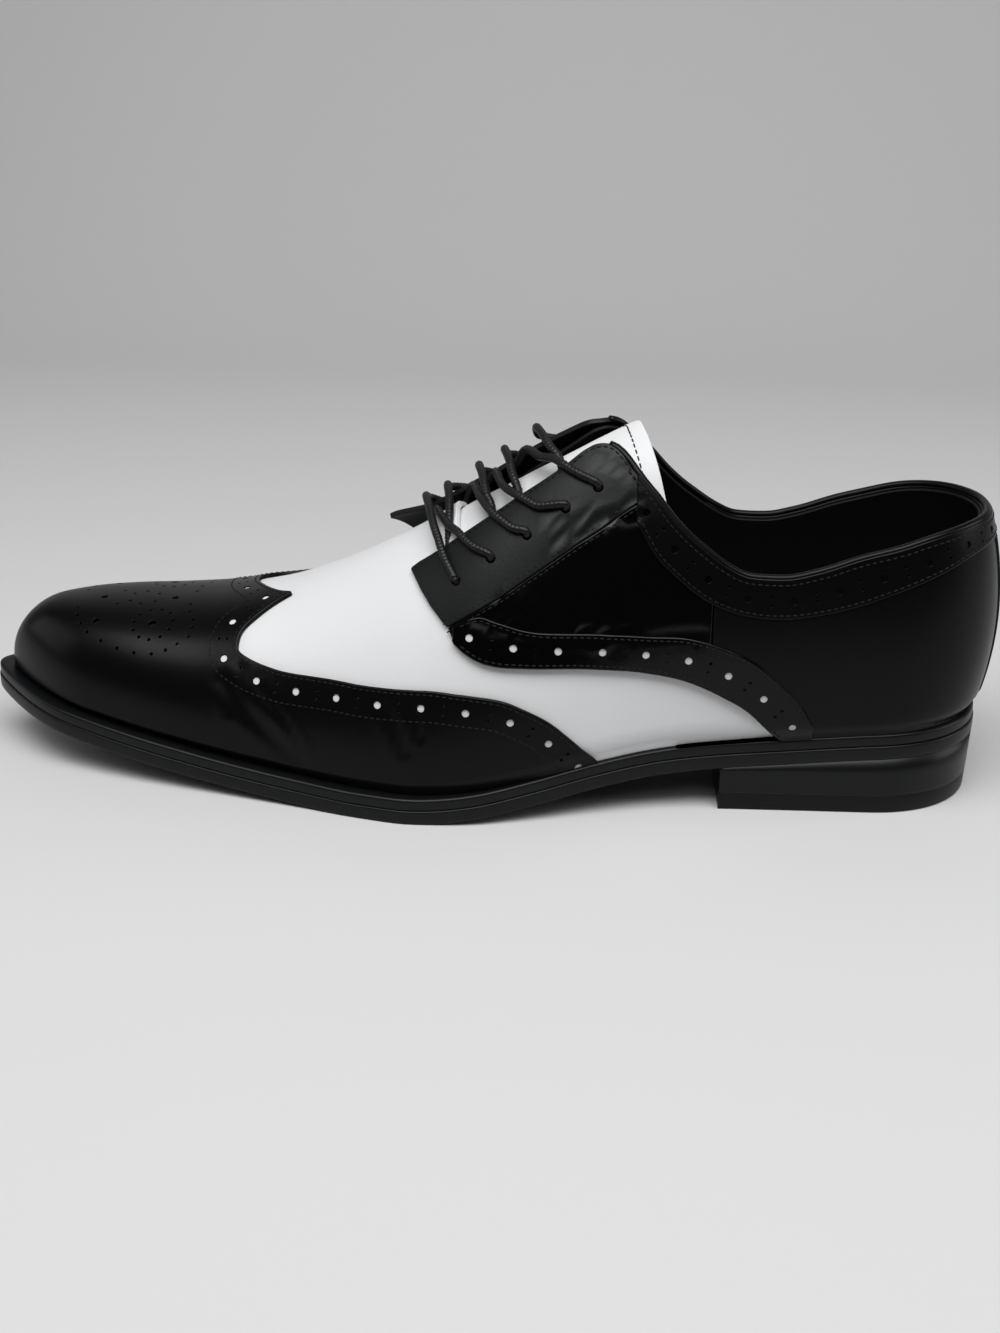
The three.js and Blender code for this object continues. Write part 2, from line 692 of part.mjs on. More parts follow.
function welt() {
  const low = OUTSOLE_THICK + GAP;
  const high = OUTSOLE_THICK + WELT_THICK;
  const body = loft(stations.map((share) => soleRing(share, [
    { inset: WELT_STEP + EDGE_BEVEL / 2, height: low },
    { inset: WELT_STEP, height: low + EDGE_BEVEL / 2 },
    { inset: WELT_STEP, height: high - EDGE_BEVEL },
    { inset: WELT_STEP + EDGE_BEVEL, height: high },
  ])));
  const middle = loft(stations.map((share) => soleRing(share, [
    { inset: WELT_WIDTH, height: 0 },
    { inset: WELT_WIDTH, height: high + SKIRT },
  ])));
  return body.subtract(middle);
}

function insole() {
  const shape = (extra) => ({
    back: BACK_INSET + WALL + GAP + extra,
    toe: TOE_INSET + WALL + 2 * GAP + 2 * extra,
    side: (along) => FEATHER.side(along) + WALL + GAP + extra,
  });
  const rings = stations.map((share) => {
    const point = (side, extra, height) => {
      const foot = footprint(share, side, shape(extra));
      return new THREE.Vector3(foot.s, foot.y, soleTop(foot.along) + height);
    };
    const top = GAP + INSOLE_THICK;
    return [
      point(OUT, 0.4, GAP), point(OUT, 0.4, top - EDGE_BEVEL), point(OUT, EDGE_BEVEL + 0.4, top),
      point(IN, EDGE_BEVEL + 0.4, top), point(IN, 0.4, top - EDGE_BEVEL), point(IN, 0.4, GAP),
    ];
  });
  return loft(rings);
}

// Heel piece between two heights. A height of null follows the underside of the sole.
function heelPiece(low, high, lowInset, highInset) {
  const steps = stations.filter((share, i) => i % 2 === 0);
  const rings = steps.map((share) => {
    const point = (side, inset, height) => {
      const foot = footprint(share, side, { back: inset, end: HEEL_LENGTH, side: (along) => inset
        * clamp(1 - along * SHOE_LENGTH / HEEL_LENGTH) + WELT_STEP });
      const z = height === null ? soleUnder(foot.along) - GAP : height;
      return new THREE.Vector3(foot.s, foot.y, z);
    };
    return [point(OUT, lowInset, low), point(OUT, highInset, high), point(IN, highInset, high),
      point(IN, lowInset, low)];
  });
  return loft(rings, ['last']);
}

// Lace routes hug the facings and the tongue. over is negative on the outer side and 0 on the crest.
const LACE_ON_FACING = LAYER_ONE_TOP + GAP + LACE_DIAMETER / 2;
const LACE_ON_TONGUE = TONGUE_TOP + GAP + LACE_DIAMETER / 2 + 0.35;
const FLAP_CLEAR = 0.9;
const LACE_SIDES = 6;
const LACE_STEPS = 10;

function eyeletHoles() {
  const holes = [];
  for (const side of [OUT, IN]) {
    for (const eyelet of EYELETS) {
      const share = shareAt(eyelet.along);
      const cylinder = new THREE.CylinderGeometry(EYELET_DIAMETER / 2, EYELET_DIAMETER / 2, EYELET_CUT, 6);
      const normal = lastNormal(share, side, eyelet.edge);
      cylinder.applyQuaternion(new THREE.Quaternion().setFromUnitVectors(new THREE.Vector3(0, 1, 0), normal));
      const centre = lastPoint(share, side, eyelet.edge);
      cylinder.translate(centre.x, centre.y, centre.z);
      cylinder.deleteAttribute('normal');
      cylinder.deleteAttribute('uv');
      holes.push(solid(mergeVertices(cylinder, 1e-3)));
    }
  }
  return holes;
}

// Cord over the crest from above one eyelet to the edge of the other facing, or to its eyelet
function laceRun(from, fromSide, to, reach, middle = LACE_ON_TONGUE) {
  const points = [];
  for (let i = 0; i <= LACE_STEPS; i += 1) {
    const t = i / LACE_STEPS;
    const start = fromSide * (1 - from.edge);
    const over = mix(start, -fromSide * reach, t);
    const along = mix(from.along, to.along, t);
    const onFacing = smooth((Math.abs(over) - 0.12) / 0.09);
    const far = over * fromSide < 0 && reach === LACE_UNDER;
    const offset = mix(middle, LACE_ON_FACING, far ? 0 : onFacing);
    const lift = over > 0 ? (FLAP_CLEAR + flapLift(shareAt(along), IN, 1 - Math.abs(over))) * onFacing : 0;
    points.push(offsetPoint(shareAt(along), over <= 0 ? OUT : IN, 1 - Math.abs(over), offset + lift));
  }
  const path = new THREE.CatmullRomCurve3(points);
  const round = new THREE.Shape();
  for (let k = 0; k <= LACE_SIDES; k += 1) {
    const turn = (k / LACE_SIDES) * 2 * Math.PI;
    const x = Math.cos(turn) * LACE_DIAMETER / 2;
    const y = Math.sin(turn) * LACE_DIAMETER / 2;
    if (k === 0) round.moveTo(x, y);
    else if (k < LACE_SIDES) round.lineTo(x, y);
    else round.closePath();
  }
  const tube = new THREE.ExtrudeGeometry(round, { steps: LACE_STEPS, extrudePath: path, bevelEnabled: false });
  tube.deleteAttribute('normal');
  tube.deleteAttribute('uv');
  return solid(closedMeshOf(tube));
}

function closedMeshOf(geometry) {
  const merged = mergeVertices(geometry, 1e-3);
  if (!merged.index) merged.setIndex([...Array(merged.attributes.position.count).keys()]);
  return merged;
}

const LACE_UNDER = 0.185;
const LACE_BAR_MIDDLE = LACE_ON_TONGUE + LACE_DIAMETER + 7 * GAP;
const laceBar = () => laceRun(EYELETS[0], OUT, EYELETS[0], 1 - EYELETS[0].edge, LACE_BAR_MIDDLE);
function laceCross(i) {
  return laceRun(EYELETS[i], OUT, EYELETS[i - 1], LACE_UNDER)
    .add(laceRun(EYELETS[i], IN, EYELETS[i - 1], LACE_UNDER));
}

// Materials
const leather = (colour, roughness) => new THREE.MeshStandardMaterial({ color: colour, roughness, metalness: 0 });
const blackSmooth = leather(0x0c0c0e, 0.3);
const blackMatte = leather(0x101114, 0.5);
const blackGloss = leather(0x08080a, 0.18);
const white = leather(0xe9eaef, 0.5);
const soleBlack = leather(0x0b0b0c, 0.4);
const lining = leather(0x121214, 0.7);
const cord = leather(0x0a0a0a, 0.8);

const shoe = new THREE.Group();
function add(name, piece, material) {
  const bodies = piece.simplify(FACE_TOLERANCE).decompose().sort((a, b) => b.volume() - a.volume());
  const geometry = geometryOf(bodies[0]);
  const mesh = new THREE.Mesh(geometry, material);
  mesh.name = name;
  shoe.add(mesh);
}

add('outsole', outsole(), soleBlack);
add('welt', welt(), soleBlack);
add('heel', heelPiece(LIFT_THICK + GAP, null, HEEL_TAPER * 0.5, WELT_STEP), soleBlack);
add('heel_top_lift', heelPiece(0, LIFT_THICK, HEEL_TAPER, HEEL_TAPER * 0.5), soleBlack);
add('insole', insole(), lining);
add('upper', upper(), white);
add('tongue', tongue(), white);
add('wing_cap', wingCap(), blackSmooth);
add('quarter_lateral', quarter(OUT), blackGloss);
add('quarter_medial', quarter(IN), blackGloss);
add('heel_counter', counter(), blackSmooth);
add('facing_lateral', facing(OUT), blackMatte);
add('facing_medial', facing(IN), blackMatte);
add('lower_band_lateral', lowerBand(OUT), blackGloss);
add('lower_band_medial', lowerBand(IN), blackGloss);
add('collar_band', collarBand(), blackSmooth);
add('backstay', backstay(), blackMatte);
add('lace_bar', laceBar(), cord);
for (let i = 1; i < EYELETS.length; i += 1) add(`lace_cross_${i}`, laceCross(i), cord);

// The shoe's own coordinates run from the heel forward. Here the toe turns to -X, centred over the origin.
shoe.traverse((item) => {
  if (!item.isMesh) return;
  const place = item.geometry.attributes.position;
  for (let i = 0; i < place.count; i += 1) place.setX(i, -place.getX(i));
  const index = Array.from(item.geometry.index.array);
  for (let i = 0; i < index.length; i += 3) [index[i], index[i + 1]] = [index[i + 1], index[i]];
  item.geometry.setIndex(index);
});
const box = new THREE.Box3().setFromObject(shoe);
const centre = box.getCenter(new THREE.Vector3());
shoe.position.set(-centre.x, -centre.y, -box.min.z);
shoe.updateMatrixWorld(true);

export default shoe;
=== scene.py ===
"""Spectator shoe, left: the look of the part, over its CAD solids."""
import math

import bmesh
import bpy
import numpy as np
from mathutils import Matrix, Vector, kdtree
from mathutils.geometry import delaunay_2d_cdt


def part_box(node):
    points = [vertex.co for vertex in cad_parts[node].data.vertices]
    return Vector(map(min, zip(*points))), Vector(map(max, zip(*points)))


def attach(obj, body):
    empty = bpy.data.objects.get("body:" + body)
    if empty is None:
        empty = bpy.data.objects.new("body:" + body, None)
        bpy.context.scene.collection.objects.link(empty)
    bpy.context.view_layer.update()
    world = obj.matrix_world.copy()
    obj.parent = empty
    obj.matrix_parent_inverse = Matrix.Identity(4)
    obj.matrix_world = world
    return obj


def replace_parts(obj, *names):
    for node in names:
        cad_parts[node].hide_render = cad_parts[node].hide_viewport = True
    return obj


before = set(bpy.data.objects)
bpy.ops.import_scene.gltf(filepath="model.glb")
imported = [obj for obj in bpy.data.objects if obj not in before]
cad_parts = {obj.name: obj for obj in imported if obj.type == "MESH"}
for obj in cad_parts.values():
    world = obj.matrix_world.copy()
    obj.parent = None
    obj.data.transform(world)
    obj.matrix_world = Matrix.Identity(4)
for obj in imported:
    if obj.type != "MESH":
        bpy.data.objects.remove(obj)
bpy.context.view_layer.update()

MM = 0.001
SOLE_LOW, SOLE_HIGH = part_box("outsole")
HEEL_BACK_X = SOLE_HIGH[0] / MM

# Driving sizes, in millimetres
SHOE_LENGTH = 320
BALL_WIDTH = 104
CREST_HEIGHT = 101
SEAT_HEIGHT = 20
TOE_SPRING = 17.6
OUTSOLE_THICK = 4.5
WELT_THICK = 3.7
LIFT_THICK = 6
HEEL_LENGTH = 82
WALL = 2
WELT_LEDGE = 5
TOE_INSET = 7
BACK_INSET = 2
TOE_ROUND = 30
HEEL_ROUND = 35
NOSE_ROUND = 17
SIDE_BULGE = 6
BACK_SWELL = 20.3
BACK_LEAN = 26.5
BACK_RISE = 72.4
BACK_FADE = 90
TOE_POWER = 2
HEEL_POWER = 2.15
NOSE_POWER = 2.5
SPAN = SHOE_LENGTH - TOE_INSET - BACK_INSET

# Half widths of the sole, as shares of the ball width: along, lateral, medial
SOLE = [
    (0, 0.317, 0.317), (0.10, 0.321, 0.321), (0.20, 0.323, 0.312), (0.26, 0.326, 0.298),
    (0.32, 0.348, 0.279), (0.38, 0.394, 0.269), (0.44, 0.447, 0.293), (0.50, 0.484, 0.356),
    (0.55, 0.488, 0.418), (0.60, 0.460, 0.466), (0.66, 0.409, 0.490), (0.72, 0.362, 0.484),
    (0.78, 0.317, 0.454), (0.84, 0.269, 0.413), (0.90, 0.207, 0.359), (0.95, 0.139, 0.301),
    (1, 0.048, 0.212),
]
# Underside: along, share of the seat height, share of the toe spring
UNDERSIDE = [
    (0, 1, 0), (0.10, 0.935, 0), (0.20, 0.795, 0), (0.26, 0.705, 0), (0.32, 0.605, 0),
    (0.38, 0.45, 0), (0.44, 0.25, 0), (0.49, 0.095, 0), (0.53, 0.015, 0), (0.55, 0, 0),
    (0.60, 0, 0), (0.66, 0, 0.051), (0.72, 0, 0.153), (0.80, 0, 0.352), (0.88, 0, 0.591),
    (0.94, 0, 0.784), (1, 0, 1),
]
# Crest: along, share of the crest height
CREST = [
    (0, 0.974), (0.10, 0.977), (0.20, 0.983), (0.30, 0.996), (0.345, 0.999), (0.38, 0.984),
    (0.42, 0.933), (0.46, 0.870), (0.50, 0.802), (0.55, 0.700), (0.59, 0.626), (0.625, 0.565),
    (0.66, 0.506), (0.69, 0.459), (0.72, 0.423), (0.76, 0.382), (0.80, 0.352), (0.86, 0.314),
    (0.90, 0.283), (0.94, 0.242), (1, 0.150),
]
# Sections: along, crest, out bulge, in bulge, out rise, out crown, in rise, in crown, ledge
SECTIONS = [
    (0, 0, 0.50, 0.50, 0.34, 0.86, 0.34, 0.86, 0.12),
    (0.10, 0, 0.67, 0.67, 0.34, 0.84, 0.34, 0.84, 0.10),
    (0.20, 0, 0.67, 0.83, 0.36, 0.78, 0.36, 0.80, 0.08),
    (0.30, 0, 0.50, 1.00, 0.40, 0.72, 0.42, 0.76, 0.06),
    (0.38, 0, 0.25, 1.00, 0.42, 0.66, 0.46, 0.74, 0.12),
    (0.46, 0.005, 0.25, 1.00, 0.42, 0.62, 0.46, 0.70, 0.44),
    (0.54, 0.014, 0.25, 0.67, 0.42, 0.62, 0.46, 0.66, 0.76),
    (0.62, 0.029, 0.33, 0.58, 0.46, 0.64, 0.54, 0.70, 0.92),
    (0.70, 0.043, 0.42, 0.50, 0.54, 0.68, 0.62, 0.80, 0.97),
    (0.80, 0.058, 0.42, 0.42, 0.60, 0.72, 0.70, 0.84, 1.00),
    (0.90, 0.072, 0.33, 0.33, 0.66, 0.76, 0.74, 0.84, 1.04),
    (1, 0.082, 0.25, 0.25, 0.66, 0.78, 0.74, 0.84, 1.08),
]
# Topline and throat: along, edge from the feather line, 0, to the crest, 1
COLLAR = [
    (0, 0.508), (0.039, 0.503), (0.074, 0.490), (0.107, 0.470), (0.138, 0.453), (0.179, 0.423),
    (0.209, 0.410), (0.240, 0.413), (0.261, 0.435), (0.282, 0.472), (0.301, 0.514),
    (0.317, 0.562), (0.330, 0.612), (0.338, 0.640), (0.349, 0.688), (0.360, 0.744),
    (0.369, 0.780), (0.380, 0.802), (0.391, 0.809), (0.402, 0.798), (0.420, 0.786),
    (0.461, 0.778), (0.517, 0.764), (0.548, 0.760), (0.600, 0.750),
]
FACING_EDGE = [
    (0.332, 0.609), (0.338, 0.603), (0.349, 0.590), (0.360, 0.576), (0.380, 0.551),
    (0.425, 0.527), (0.469, 0.505), (0.518, 0.490),
]
FACING_FRONT = [(0.518, 0.490), (0.524, 0.517), (0.536, 0.584), (0.546, 0.654), (0.557, 0.749)]
COLLAR_BAND = [
    (0, 0.452), (0.032, 0.441), (0.070, 0.408), (0.108, 0.374), (0.145, 0.344), (0.182, 0.325),
    (0.207, 0.319), (0.233, 0.322), (0.259, 0.336), (0.286, 0.368), (0.307, 0.410),
    (0.332, 0.477), (0.349, 0.560),
]
# Lower band: along, lower edge, upper edge
LOWER_BAND = [
    (0.171, -0.10, 0.041), (0.188, -0.05, 0.117), (0.207, 0.014, 0.169), (0.232, 0.088, 0.220),
    (0.262, 0.138, 0.253), (0.292, 0.174, 0.275), (0.336, 0.207, 0.289), (0.373, 0.231, 0.310),
    (0.410, 0.264, 0.345), (0.448, 0.302, 0.394), (0.474, 0.335, 0.448), (0.489, 0.363, 0.480),
    (0.504, 0.406, 0.486), (0.513, 0.441, 0.487),
]
# Rear edge of the wing cap: over, -1 on the outer feather line and 1 on the inner, and along
WING = [
    (-1, 0.373), (-0.955, 0.388), (-0.900, 0.406), (-0.849, 0.424), (-0.803, 0.445),
    (-0.757, 0.468), (-0.705, 0.507), (-0.658, 0.547), (-0.626, 0.593), (-0.590, 0.631),
    (-0.563, 0.667), (-0.523, 0.696), (-0.476, 0.717), (-0.424, 0.727), (-0.325, 0.724),
    (-0.252, 0.713), (-0.148, 0.690), (-0.118, 0.680), (-0.088, 0.690), (0.016, 0.713),
    (0.090, 0.724), (0.190, 0.727), (0.250, 0.719), (0.310, 0.700), (0.360, 0.672),
    (0.410, 0.638), (0.465, 0.598), (0.530, 0.552), (0.610, 0.508), (0.700, 0.466),
    (0.770, 0.441), (0.835, 0.420), (0.895, 0.402), (0.952, 0.386), (1, 0.373),
]
# Lift of the inner facing's throat edge: along, share of the flap's lift
FLAP = [(0.380, 0), (0.405, 0.28), (0.440, 0.48), (0.480, 0.50), (0.534, 0.66), (0.590, 1), (1, 1)]
FLAP_LIFT = 8.2
EYELETS = [(0.511, 0.614), (0.479, 0.626), (0.446, 0.634), (0.411, 0.649), (0.382, 0.664)]


def curve(rows, column=1):
    xs = np.array([row[0] for row in rows], float)
    ys = np.array([row[column] for row in rows], float)
    h = np.diff(xs)
    d = np.diff(ys) / h
    m = np.zeros_like(ys)
    m[0], m[-1] = d[0], d[-1]
    for i in range(1, len(xs) - 1):
        if d[i - 1] * d[i] > 0:
            mean = (d[i - 1] * h[i] + d[i] * h[i - 1]) / (h[i - 1] + h[i])
            m[i] = np.sign(mean) * min(abs(mean), 3 * abs(d[i - 1]), 3 * abs(d[i]))

    def at(x):
        x = np.clip(np.asarray(x, float), xs[0], xs[-1])
        i = np.clip(np.searchsorted(xs, x, side="right") - 1, 0, len(xs) - 2)
        t = (x - xs[i]) / h[i]
        u = 1 - t
        return ((1 + 2 * t) * u * u * ys[i] + t * u * u * h[i] * m[i]
                + t * t * (3 - 2 * t) * ys[i + 1] - t * t * u * h[i] * m[i + 1])
    return at


out_width, in_width = curve(SOLE, 1), curve(SOLE, 2)
seat_share, spring_share = curve(UNDERSIDE, 1), curve(UNDERSIDE, 2)
crest_rise = curve(CREST)
(crest_side, out_bulge, in_bulge, out_rise, out_crown, in_rise, in_crown,
 ledge) = [curve(SECTIONS, i) for i in range(1, 9)]
collar, facing_edge, band_low = curve(COLLAR), curve(FACING_EDGE), curve(COLLAR_BAND)
lower_low, lower_high = curve(LOWER_BAND, 1), curve(LOWER_BAND, 2)
wing_edge = curve(WING)
flap_rise = curve(FLAP)


def rounded(depth, radius, power):
    return (1 - (1 - np.clip(depth / radius, 0, 1)) ** power) ** (1 / power)


def smooth(value):
    t = np.clip(value, 0, 1)
    return t * t * (3 - 2 * t)


def sole_under(along):
    return seat_share(along) * SEAT_HEIGHT + spring_share(along) * TOE_SPRING


def sole_top(along):
    return sole_under(along) + OUTSOLE_THICK + WELT_THICK


def share_of(along):
    """Place along the last as an even angle, 0 at the heel and 1 at the toe."""
    t = np.clip((np.asarray(along, float) * SHOE_LENGTH - BACK_INSET) / SPAN, 0, 1)
    return np.arccos(1 - 2 * t) / math.pi


def last_point(share, side, girth):
    s = BACK_INSET + SPAN * (1 - np.cos(np.pi * np.clip(share, 0, 1))) / 2
    along = s / SHOE_LENGTH
    out, inn = out_width(along) * BALL_WIDTH, in_width(along) * BALL_WIDTH
    middle = (inn - out) / 2
    end = (rounded(SHOE_LENGTH - TOE_INSET - s, TOE_ROUND, TOE_POWER)
           * rounded(s - BACK_INSET, HEEL_ROUND, HEEL_POWER))
    foot = middle + side * ((out + inn) / 2 - ledge(along) * WELT_LEDGE) * end
    bulge = np.where(side < 0, out_bulge(along), in_bulge(along)) * SIDE_BULGE * end
    rise = np.where(side < 0, out_rise(along), in_rise(along))
    crown = np.where(side < 0, out_crown(along), in_crown(along))
    nose = rounded(SHOE_LENGTH - TOE_INSET - s, NOSE_ROUND, NOSE_POWER)
    height = crest_rise(along) * CREST_HEIGHT * nose
    ridge = middle + (crest_side(along) * BALL_WIDTH - middle) * end
    up = np.clip(girth, 0, 1)
    down = 1 - up
    b0, b1, b2, b3 = down ** 3, 3 * up * down ** 2, 3 * up ** 2 * down, up ** 3
    y = b0 * foot + b1 * (foot + side * bulge) + b2 * (ridge + crown * (foot - ridge)) + b3 * ridge
    lift = height * (b1 * rise + b2 + b3)
    climb = np.minimum(lift / BACK_RISE, 1.2)
    swell = (BACK_SWELL * climb - BACK_LEAN * climb ** 2) * np.clip(1 - s / BACK_FADE, 0, 1) ** 2
    z = sole_top(along) + lift + np.minimum(girth, 0) * 100
    return np.stack([s - swell, y, z], axis=-1)


class OverChart:
    """u runs from heel to toe, v over the shoe from the lateral feather line, -1, to the medial, 1."""
    scale = (320.0, 100.0)

    def base(self, uv):
        side = np.where(uv[..., 1] <= 0, -1.0, 1.0)
        return last_point(uv[..., 0], side, 1 - np.abs(uv[..., 1]))

    turn = 1


class WrapChart:
    """u runs round the heel, from the lateral toe end, -1, to the medial, 1, and v up the side."""
    scale = (320.0, 100.0)

    def base(self, uv):
        side = np.where(uv[..., 0] <= 0, -1.0, 1.0)
        return last_point(np.abs(uv[..., 0]), side, uv[..., 1])

    turn = -1


OVER, WRAP = OverChart(), WrapChart()
STEP = 1e-3
ROLL_IN, ROLL_GIRTH = 1.7, 0.055
MOST_SHIFT = 0.03


def tangents(chart, uv):
    du, dv = np.array([STEP, 0.0]), np.array([0.0, STEP])
    a, b = uv + du, uv - du
    if chart is OVER:
        a = np.stack([np.minimum(a[..., 0], 1), a[..., 1]], -1)
        b = np.stack([np.maximum(b[..., 0], 0), b[..., 1]], -1)
    e_u = (chart.base(a) - chart.base(b)) / (a[..., :1] - b[..., :1])
    e_v = (chart.base(uv + dv) - chart.base(uv - dv)) / (2 * STEP)
    return e_u, e_v


def unit(vectors):
    length = np.linalg.norm(vectors, axis=-1, keepdims=True)
    return vectors / np.maximum(length, 1e-9)


def normals(chart, uv):
    e_u, e_v = tangents(chart, uv)
    normal = np.cross(e_u, e_v) * chart.turn
    flat = np.linalg.norm(normal, axis=-1) < 1e-6
    normal[flat] = (1, 0, 0)
    return unit(normal)


# Creases: layer, depth, half width and points of along, over
CREASES = [
    (0.41, 2.4, [(0.739, -0.614), (0.714, -0.746), (0.687, -0.845), (0.66, -0.928)]),
    (0.22, 1.4, [(0.698, -0.637), (0.674, -0.768), (0.659, -0.868)]),
    (0.26, 1.9, [(0.578, -0.69), (0.564, -0.771), (0.557, -0.841)]),
    (0.19, 1.3, [(0.55, -0.72), (0.542, -0.801)]),
    (0.22, 1.6, [(0.722, -0.538), (0.728, -0.649), (0.732, -0.759)]),
    (0.34, 1.6, [(0.489, -0.533), (0.469, -0.543), (0.442, -0.590), (0.409, -0.632)]),
    (0.38, 1.8, [(0.48, -0.560), (0.451, -0.610), (0.414, -0.648), (0.378, -0.690)]),
    (0.12, 1.6, [(0.405, -0.647), (0.359, -0.692), (0.317, -0.71), (0.28, -0.713)]),
    (0.22, 1.3, [(0.47, -0.502), (0.458, -0.548), (0.433, -0.584)]),
    (0.38, 1.4, [(0.416, -0.427), (0.393, -0.439), (0.38, -0.429), (0.344, -0.438)]),
    (0.26, 1.3, [(0.427, -0.334), (0.419, -0.38), (0.41, -0.383)]),
    (0.34, 1.3, [(0.402, -0.396), (0.371, -0.427), (0.35, -0.396)]),
    (0.30, 1.8, [(0.39, -0.208), (0.375, -0.271), (0.356, -0.313)]),
]


def relief(points):
    total = np.zeros(points.shape[:-1])
    for depth, width, path in CREASE_PATHS:
        nearest = np.full(points.shape[:-1], 1e9)
        for a, b in zip(path[:-1], path[1:]):
            ab = b - a
            t = np.clip(((points - a) @ ab) / (ab @ ab), 0, 1)
            nearest = np.minimum(nearest, np.linalg.norm(points - (a + t[..., None] * ab), axis=-1))
        total -= depth * np.exp(-(nearest / width) ** 2)
        total += 0.35 * depth * np.exp(-((nearest - 2.0 * width) / width) ** 2)
    return total


def crease_path(rows):
    uv = np.array([(share_of(along), over) for along, over in rows], float)
    return OVER.base(uv)


CREASE_PATHS = [(depth, width, crease_path(rows)) for depth, width, rows in CREASES]


def surface(chart, uv, offset, raised=True, extra=None):
    base = chart.base(uv)
    normal = normals(chart, uv)
    height = np.broadcast_to(np.asarray(offset, float), base.shape[:-1])
    if extra is not None:
        height = height + extra(uv)
    girth = 1 - np.abs(uv[..., 1]) if chart is OVER else uv[..., 1]
    height = height - ROLL_IN * (1 - smooth(girth / ROLL_GIRTH))
    if raised and CREASE_PATHS:
        height = height + relief(base)
    return base + normal * height[..., None]


def surface_normals(chart, uv, extra=None):
    step = 2e-3
    du, dv = np.array([step, 0.0]), np.array([0.0, step])
    a, b = uv + du, uv - du
    if chart is OVER:
        a = np.stack([np.minimum(a[..., 0], 1), a[..., 1]], -1)
        b = np.stack([np.maximum(b[..., 0], 0), b[..., 1]], -1)
    e_u = surface(chart, a, 0, extra=extra) - surface(chart, b, 0, extra=extra)
    e_v = surface(chart, uv + dv, 0, extra=extra) - surface(chart, uv - dv, 0, extra=extra)
    return unit(np.cross(e_u, e_v) * chart.turn)


def shifted(chart, uv, direction):
    """Move chart points by a small 3-D step that lies in the surface."""
    e_u, e_v = tangents(chart, uv)
    guu, guv, gvv = (e_u * e_u).sum(-1), (e_u * e_v).sum(-1), (e_v * e_v).sum(-1)
    bu, bv = (direction * e_u).sum(-1), (direction * e_v).sum(-1)
    det = np.maximum(guu * gvv - guv ** 2, 1e-6)
    step = np.stack([(gvv * bu - guv * bv) / det, (guu * bv - guv * bu) / det], -1)
    most = MOST_SHIFT * np.maximum(np.linalg.norm(direction, axis=-1, keepdims=True), 1)
    return uv + np.clip(step, -most, most)


def resample(chart, uv, pitch, closed=False):
    """Points at an even pitch along a chart line, by its length on the surface."""
    dense = []
    count = len(uv) if closed else len(uv) - 1
    for i in range(count):
        a, b = uv[i], uv[(i + 1) % len(uv)]
        dense.append(a + (b - a) * np.linspace(0, 1, 8, endpoint=False)[:, None])
    dense = np.concatenate(dense + ([] if closed else [uv[-1:]]))
    points = chart.base(dense)
    loop = np.concatenate([dense, dense[:1]]) if closed else dense
    ends = np.concatenate([points, points[:1]]) if closed else points
    length = np.concatenate([[0], np.cumsum(np.linalg.norm(np.diff(ends, axis=0), axis=1))])
    steps = max(int(round(length[-1] / pitch)), 2)
    at = np.linspace(0, length[-1], steps + 1)
    if closed:
        at = at[:-1]
    return np.stack([np.interp(at, length, loop[:, k]) for k in range(2)], -1), length[-1]


def along_line(chart, uv, offset):
    """Unit tangents and sideways directions of a chart line."""
    points = chart.base(uv)
    tangent = unit(np.gradient(points, axis=0))
    normal = normals(chart, uv)
    return tangent, unit(np.cross(normal, tangent)), normal


def parallel(chart, uv, distance):
    """A line beside a chart line, at a distance on the surface: positive to its left."""
    _, left, _ = along_line(chart, uv, 0)
    return shifted(chart, uv, left * distance)


def inset(chart, uv, distance):
    points = chart.base(uv)
    tangent = unit(np.roll(points, -1, axis=0) - np.roll(points, 1, axis=0))
    normal = normals(chart, uv)
    area = 0.5 * np.sum(uv[:, 0] * np.roll(uv[:, 1], -1) - np.roll(uv[:, 0], -1) * uv[:, 1])
    left = unit(np.cross(normal, tangent))
    inward = left * np.sign(area) * chart.turn
    return shifted(chart, uv, inward * distance), inward


def inside(polygon, points):
    x, y = points[:, 0], points[:, 1]
    result = np.zeros(len(points), bool)
    for (x0, y0), (x1, y1) in zip(polygon, np.roll(polygon, -1, axis=0)):
        if y0 == y1:
            continue
        hit = ((y0 > y) != (y1 > y)) & (x < (x1 - x0) * (y - y0) / (y1 - y0) + x0)
        result ^= hit
    return result


def circle_on(chart, centre, radius, count):
    """Chart points of a circle on the surface."""
    uv = np.repeat(centre[None], count, axis=0)
    e_u, _ = tangents(chart, uv)
    normal = normals(chart, uv)
    a = unit(e_u)
    b = unit(np.cross(normal, a))
    turn = np.linspace(0, 2 * math.pi, count, endpoint=False)[:, None]
    return shifted(chart, uv, radius * (np.cos(turn) * a + np.sin(turn) * b))


def to_row(points):
    out = np.array(points, float)
    out[..., 0] = HEEL_BACK_X - out[..., 0]
    out[..., 1] += SIDE_SHIFT
    return out * MM


SIDE_SHIFT = SOLE_LOW[1] / MM + 0.0
_probe = np.linspace(0, 1, 4001)
SIDE_SHIFT += float(np.max(out_width(_probe)) * BALL_WIDTH)


